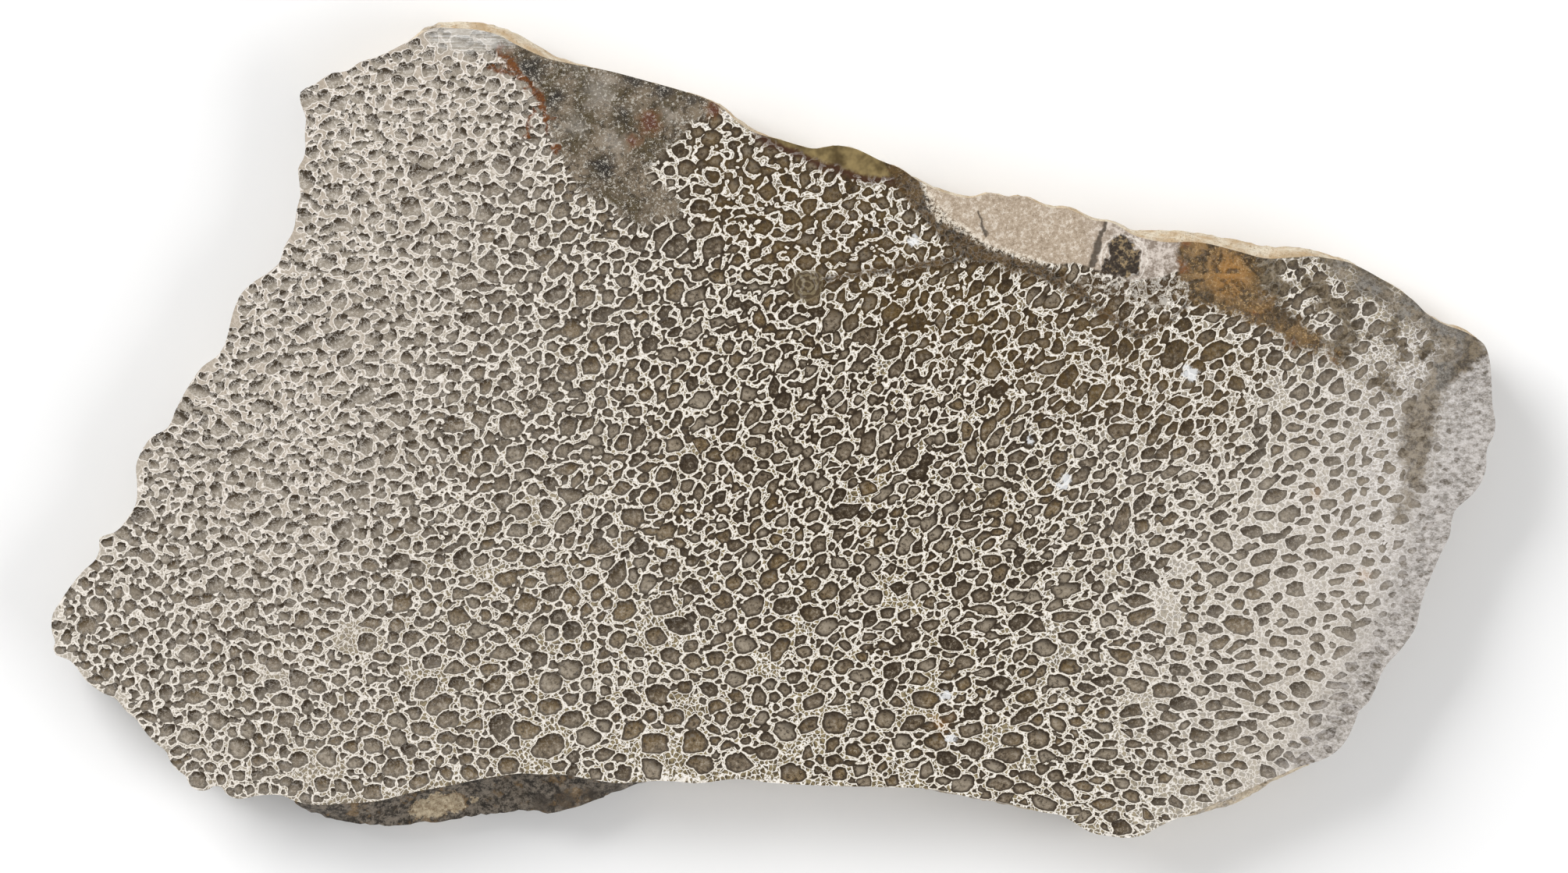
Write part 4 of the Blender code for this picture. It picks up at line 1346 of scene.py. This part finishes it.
band = n.mix(n.share(crumbs, 0.4, 0.62), "#877c6c", "#443a2d")
paint = n.over(paint, patch("dark_band", 0.8, 1.4), 0.88, band)
smoky = n.mix(n.share(crumbs, 0.4, 0.6), "#746753", "#382e20")
slate = n.mix(n.share(fine, 0.38, 0.62), "#8b8781", "#4f4b46")
smoky = n.mix(patch("dark_band", 0.8, 1.0), smoky, slate)
no_island = n.math("SUBTRACT", 1.0, patch("bone_islands", 0.4, 2.0, 0.3))
paint = n.over(paint, n.math("MULTIPLY", patch("mottled", 0.6, 1.2), no_island), 0.9, smoky)
print("With the outer wall:", len(n.tree.nodes), "nodes")

# %% [markdown]
# Grey-brown agate fills a gap in the marrow, and beside it lies a strip of translucent olive agate
# with a red-brown border.

# %% Paint the agate
agate = n.mix(n.share(cloud, 0.36, 0.66), "#4f4537", "#786b5a")
agate = n.layers(
    agate,
    (n.share(cloud, 0.5, 0.4), 0.5, "#4d4228"),
    (n.share(crumbs, 0.5, 0.58), 0.75, "#30281d"),
    (patch("agate_dark", 0.6, 1.0, 0.1), 0.8, "#232120"),
    (patch("agate_pale", 1.2, 1.8), 0.45, "#a39c92"),
    (n.share(fine, 0.55, 0.6), 0.75, "#b9b3a8"),
    (grain["Specks"], 0.8, "#d2cec6"),
)
paint = n.mix(patch("agate", 0.4, 1.1), paint, agate)

olive = n.mix(n.share(cloud, 0.35, 0.65), "#4b3d22", "#8a7850")
paint = n.over(paint, patch("olive", 0.5, 0.9, 0.7), 0.85, "#3f2315")
paint = n.mix(patch("olive", 0.3, 0.4), paint, olive)
print("With agate:", len(n.tree.nodes), "nodes")

# %% [markdown]
# Lime mud hardened round the bone. In it lie a dark knot with pale rings round it, a few fine cracks
# and a crust of small crystals. Knot and cracks are marks for the shader's own groups.

# %% Paint the lime mud
def spots(n, place, where, ragged=1.5, soft=0.25):
    """A mask of spots given as x, y and radius."""
    mask = 0.0
    for x, y, radius in where:
        one = n.group(spot, {"Place": place, "Middle": (x, y, 0), "Radius": radius, "Ragged": ragged})
        mask = n.math("MAXIMUM", mask, n.share(one["Depth"], -soft, soft))
    return mask


def streaks(n, place, where, ragged=1.0, soft=0.12):
    """A mask of streaks given as x, y, x, y and half width."""
    mask = 0.0
    for x0, y0, x1, y1, width in where:
        one = n.group(streak, {"Place": place, "From": (x0, y0, 0), "To": (x1, y1, 0),
                               "Width": width, "Ragged": ragged})
        mask = n.math("MAXIMUM", mask, n.share(one["Depth"], -soft, soft))
    return mask


mud = n.mix(n.share(fine, 0.3, 0.7), "#93826f", "#bcac99")
mud = n.layers(
    mud,
    (n.share(crumbs, 0.54, 0.6), 0.6, "#d9cfc1"),
    (n.share(fine, 0.6, 0.64), 0.6, "#ded6ca"),
    (n.share(crumbs, 0.42, 0.36), 0.6, "#776753"),
)
lilac = n.mix(n.share(crumbs, 0.4, 0.6), "#85786c", "#c9beb4")
along_slab = n.add("ShaderNodeSeparateXYZ", {0: place}).outputs["X"]
mud = n.mix(n.share(along_slab, 31.0, 37.0), mud, lilac)
mud = n.over(mud, grain["Specks"], 0.7, "#54483c")
ring = n.group(spot, {"Place": place, "Middle": (*KNOT_RING, 0), "Radius": 2.5, "Ragged": 0.7})
ring_lines = n.share(n.math("SINE", n.math("MULTIPLY", ring["Depth"], 14.0)), 0.2, 0.9)
ring_lines = n.math("MULTIPLY", ring_lines, n.share(ring["Depth"], -0.25, 0.0))
mud = n.over(mud, ring_lines, 0.6, "#e3dcd2")
knot_paint = n.mix(n.share(crumbs, 0.5, 0.64), "#231910", "#8f7a58")
mud = n.over(mud, spots(n, place, KNOT, 1.1, 0.2), 0.95, knot_paint)
paint = n.mix(patch("matrix", 0.15, 0.35), paint, mud)
druse = n.mix(n.share(crumbs, 0.5, 0.57), "#46341c", "#dfd8cd")
paint = n.over(paint, patch("druse", 0.5, 1.4, -0.4), 0.5, druse)
paint = n.over(paint, streaks(n, place, CRACKS), 0.85, "#3d342a")
print("With lime mud:", len(n.tree.nodes), "nodes")

# %% [markdown]
# The golden chalcedony is clouded with brown and grey and darker towards its border.

# %% Paint the golden chalcedony
gold_cloud = n.noise(place, 0.55, 4.0, 0.6, 1.5)
gold = n.mix(n.share(gold_cloud, 0.34, 0.62), "#3d2d16", "#80633d")
gold = n.over(gold, patch("gold_glow", 1.6, 1.2), 0.7, "#996a2c")
gold = n.over(gold, n.share(gold_cloud, 0.52, 0.36), 0.7, "#2f210e")
gold_edge = n.math("SUBTRACT", 1.0, patch("chalcedony", 0.9, 1.0, -1.3))
gold = n.layers(
    gold,
    (gold_edge, 0.55, "#41331e"),
    (n.share(crumbs, 0.53, 0.62), 0.55, "#33240f"),
    (n.share(fine, 0.55, 0.61), 0.5, "#bf9f6f"),
    (patch("gold_dark", 0.9, 0.8), 0.8, "#33281a"),
    (patch("rusty", 0.5, 0.8), 0.7, "#7d4820"),
)
paint = n.over(paint, patch("chalcedony", 0.6, 1.3), 0.95, gold)
print("With chalcedony:", len(n.tree.nodes), "nodes")

# %% [markdown]
# Dark veins with a pale seam run along the mud. Iron left rust, a small ringed rosette, maroon and
# tan stains. A few cells are filled with clear quartz.

# %% Paint veins, rings and stains
vein = n.mix(n.share(crumbs, 0.38, 0.62), "#1f1406", "#574225")
vein = n.over(vein, n.share(fine, 0.57, 0.62), 0.5, "#8d7d66")
paint = n.over(paint, patch("vein", 0.3, 0.6), 0.92, vein)
seam = n.math("MULTIPLY", patch("vein", 0.25, 0.6, 0.45), patch("matrix", 0.2, 0.6, 0.3))
paint = n.over(paint, n.math("MULTIPLY", seam, n.share(fine, 0.46, 0.56)), 0.8, "#ddd3c3")
rings_at = n.group(spot, {"Place": place, "Middle": (*ROSETTE, 0), "Radius": 1.7, "Ragged": 0.9})
ring_wave = n.share(n.math("SINE", n.math("MULTIPLY", rings_at["Depth"], 11.0)), -0.3, 0.8)
ring_paint = n.mix(ring_wave, "#4a3d2b", "#766a52")
paint = n.over(paint, n.share(rings_at["Depth"], -0.1, 0.3), 0.9, ring_paint)
rust = n.mix(n.share(fine, 0.4, 0.6), "#7a4414", "#43230d")
worn = n.share(fine, 0.37, 0.46)
paint = n.layers(
    paint,
    (n.math("MULTIPLY", streaks(n, place, RUST, 2.5, 0.2), worn), 0.92, rust),
    (patch("maroon", 0.6, 1.3, 0.4), 0.5, "#73491f"),
    (patch("maroon", 0.4, 1.2), 0.7, "#4d2620"),
)
glint = n.math("MULTIPLY", patch("maroon", 0.4, 1.2), n.share(fine, 0.54, 0.6))
paint = n.layers(
    paint,
    (glint, 0.6, "#b3a49c"),
    (patch("tan_stain", 0.8, 1.2), 0.3, "#a9773a"),
    (patch("quartz", 0.2, 1.2), 0.75, "#dedfe0"),
)
print("With veins and stains:", len(n.tree.nodes), "nodes")

# %% [markdown]
# The saw left fine scratches at the upper left. The polish is satin: bone stays a little rougher
# than agate, and a weak bump keeps the highlight from being perfect.

# %% Finish the sawn face
scratched = n.mapped(place, 0.22, (0.35, 4.0, 1.0))
scratches = n.mix(n.share(n.noise(scratched, 1.0, 5.0, 0.75), 0.42, 0.6),
                  "#9c968c", "#dedcd8")
paint = n.over(paint, patch("scratched", 0.9, 1.0), 0.6, scratches)

roughness = n.math("MULTIPLY_ADD", marrow_paint["Wall"], 0.16, 0.36)
height = n.noise(place, 4.0, 1.0)
bump = n.add("ShaderNodeBump", {"Height": height, "Strength": 0.25, "Distance": 0.00004})
shader = n.add("ShaderNodeBsdfPrincipled", {
    "Base Color": paint, "Roughness": roughness, "Normal": bump.outputs[0],
    "Specular IOR Level": 0.2})
n.add("ShaderNodeOutputMaterial", {"Surface": shader.outputs[0]})
print("The sawn face takes", len(n.tree.nodes), "nodes")

# %% [markdown]
# ## The rough rim
#
# The rim is the same bone, never cut. Broken stretches show marrow cells in three dimensions, so
# there the walls come from a Voronoi texture. The old outside of the bone has a tan skin, the
# flake scar shows grey-brown mud with painted shadow in its hollow, and the pits that the relief
# made get painted shade.

# %% Paint the rough rim
def paint_rough_rim():
    n, place = start_material(rough_rim)
    walls = n.math("SUBTRACT", 0.34, n.cell_edges(place, 0.62))
    # the rim's marrow takes the haze at 0.45, so it has some painted sheen too, and its painted cell
    # shade falls in patches of the mottle
    paint = n.group(marrow, {
        "Place": place, "Into Wall": walls, "Bubbles": 0.6, "Haze": 0.45, "Dense": 0.2,
        "In Cell": (0.0, 0.0, 0.4)})["Color"]
    grain = n.group(stone_grain, {"Place": place, "Size": 1.3})
    cloud = n.noise(place, 0.5, 4.0, 0.65)
    crumbs = n.noise(place, 1.5, 5.0, 0.8)
    fray = n.math("MULTIPLY_ADD", cloud, 1.6, -0.8)

    mud = n.mix(n.share(crumbs, 0.42, 0.6), "#2b241b", "#8d8274")
    mud = n.over(mud, n.share(cloud, 0.52, 0.62), 0.7, "#8a6c42")
    mud = n.over(mud, grain["Specks"], 0.6, "#c0b7a8")
    muddy = n.math("ADD", n.attribute("grey_matrix"), n.math("MULTIPLY", fray, 0.4))
    paint = n.mix(n.share(muddy, 0.4, 0.6), paint, mud)
    flat = n.vector("MULTIPLY", place, (1, 1, 0))
    # painted shadow in the hollow under the flake scar's lip, mottled by crumbs
    hollow_shadow = n.mix(crumbs, "#1f1912", "#574c40")
    paint = n.over(paint, spots(n, flat, SCAR_SHADOW, 1.0, 0.6), 0.75, hollow_shadow)
    fragment = n.mix(n.share(crumbs, 0.35, 0.65), "#8f785a", "#dccbac")
    paint = n.mix(spots(n, flat, SCAR_TAN, 2.0, 0.1), paint, fragment)
    tan = n.mix(n.share(cloud, 0.35, 0.65), "#ccb089", "#ebdec6")
    tan = n.mix(n.share(grain["Grain"], 0.54, 0.68), tan, "#a5885f")
    paint = n.mix(n.share(n.math("ADD", n.attribute("skin"), fray), 0.25, 0.65), paint, tan)
    # painted shade in the pits that the relief pushed in
    paint = n.over(paint, n.attribute("pit"), 0.45, "#6b5c48")

    height = n.math("ADD", grain["Grain"], n.math("MULTIPLY_ADD", crumbs, 1.5, grain["Specks"]))
    bump = n.add("ShaderNodeBump", {"Height": height, "Strength": 0.8, "Distance": 0.0003})
    roughness = n.math("MULTIPLY_ADD", grain["Grain"], 0.2, 0.65)
    shader = n.add("ShaderNodeBsdfPrincipled", {
        "Base Color": paint, "Roughness": roughness, "Normal": bump.outputs[0]})
    n.add("ShaderNodeOutputMaterial", {"Surface": shader.outputs[0]})
    return n


print("The rim takes", len(paint_rough_rim().tree.nodes), "nodes")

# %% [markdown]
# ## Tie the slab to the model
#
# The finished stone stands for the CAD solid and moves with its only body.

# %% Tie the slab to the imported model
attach(slab, "root")
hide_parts("bone_slab")

# %% [markdown]
# ## Floor, light and camera
#
# A small stone is photographed on white paper under large soft lamps, from straight above with
# a long lens, so that its outline isn't distorted.

# %% Lay the floor
def plain_floor():
    size = 3.0
    mesh = bpy.data.meshes.new("floor")
    corners = [(-size, -size, 0), (size, -size, 0), (size, size, 0), (-size, size, 0)]
    mesh.from_pydata(corners, [], [(0, 1, 2, 3)])
    paper = bpy.data.materials.new("white_paper")
    paper.use_nodes = True
    shader = paper.node_tree.nodes["Principled BSDF"]
    shader.inputs["Base Color"].default_value = (0.86, 0.86, 0.86, 1)
    shader.inputs["Roughness"].default_value = 0.9
    shader.inputs["Specular IOR Level"].default_value = 0.1
    mesh.materials.append(paper)
    return bpy.data.objects.new("floor", mesh)


floor = plain_floor()
bpy.context.scene.collection.objects.link(floor)

# %% [markdown]
# A large lamp at the upper left and a weaker one at the right give soft light with a slight shadow.

# %% Light it softly
def soft_lamp(name, place, size, watts):
    light = bpy.data.lights.new(name, "AREA")
    light.shape = "SQUARE"
    light.size = size
    light.energy = watts
    lamp = bpy.data.objects.new(name, light)
    lamp.location = place
    lamp.rotation_euler = (-Vector(place)).to_track_quat("-Z", "Y").to_euler()
    bpy.context.scene.collection.objects.link(lamp)
    return lamp


soft_lamp("key_lamp", (-0.8, 0.7, 0.8), 0.8, 16.0)
soft_lamp("fill_lamp", (1.0, -0.4, 0.8), 1.0, 9.0)
world = bpy.data.worlds.new("studio")
world.use_nodes = True
world.node_tree.nodes["Background"].inputs["Color"].default_value = (1, 1, 1, 1)
world.node_tree.nodes["Background"].inputs["Strength"].default_value = 0.5
bpy.context.scene.world = world
bpy.context.scene.view_settings.view_transform = "Standard"

# %% [markdown]
# The camera hangs 1.5 metres above the slab. Its lens follows from the width that it has to frame.

# %% Set up the camera
CAMERA_HEIGHT = 1.5
FRAME_WIDTH = 160.72
FRAME_MIDDLE = (1.4, -0.84)

camera_data = bpy.data.cameras.new("camera")
camera_data.sensor_width = 36.0
camera_data.lens = 36.0 * CAMERA_HEIGHT / (FRAME_WIDTH * to_metres)
camera_data.clip_start, camera_data.clip_end = 0.01, 10.0
camera = bpy.data.objects.new("camera", camera_data)
aim = (np.array(FRAME_MIDDLE) - middle) * to_metres
camera.location = (aim[0], aim[1], cad_high.z + CAMERA_HEIGHT)
bpy.context.scene.collection.objects.link(camera)
bpy.context.scene.camera = camera
print("Lens", round(camera_data.lens, 1), "mm")
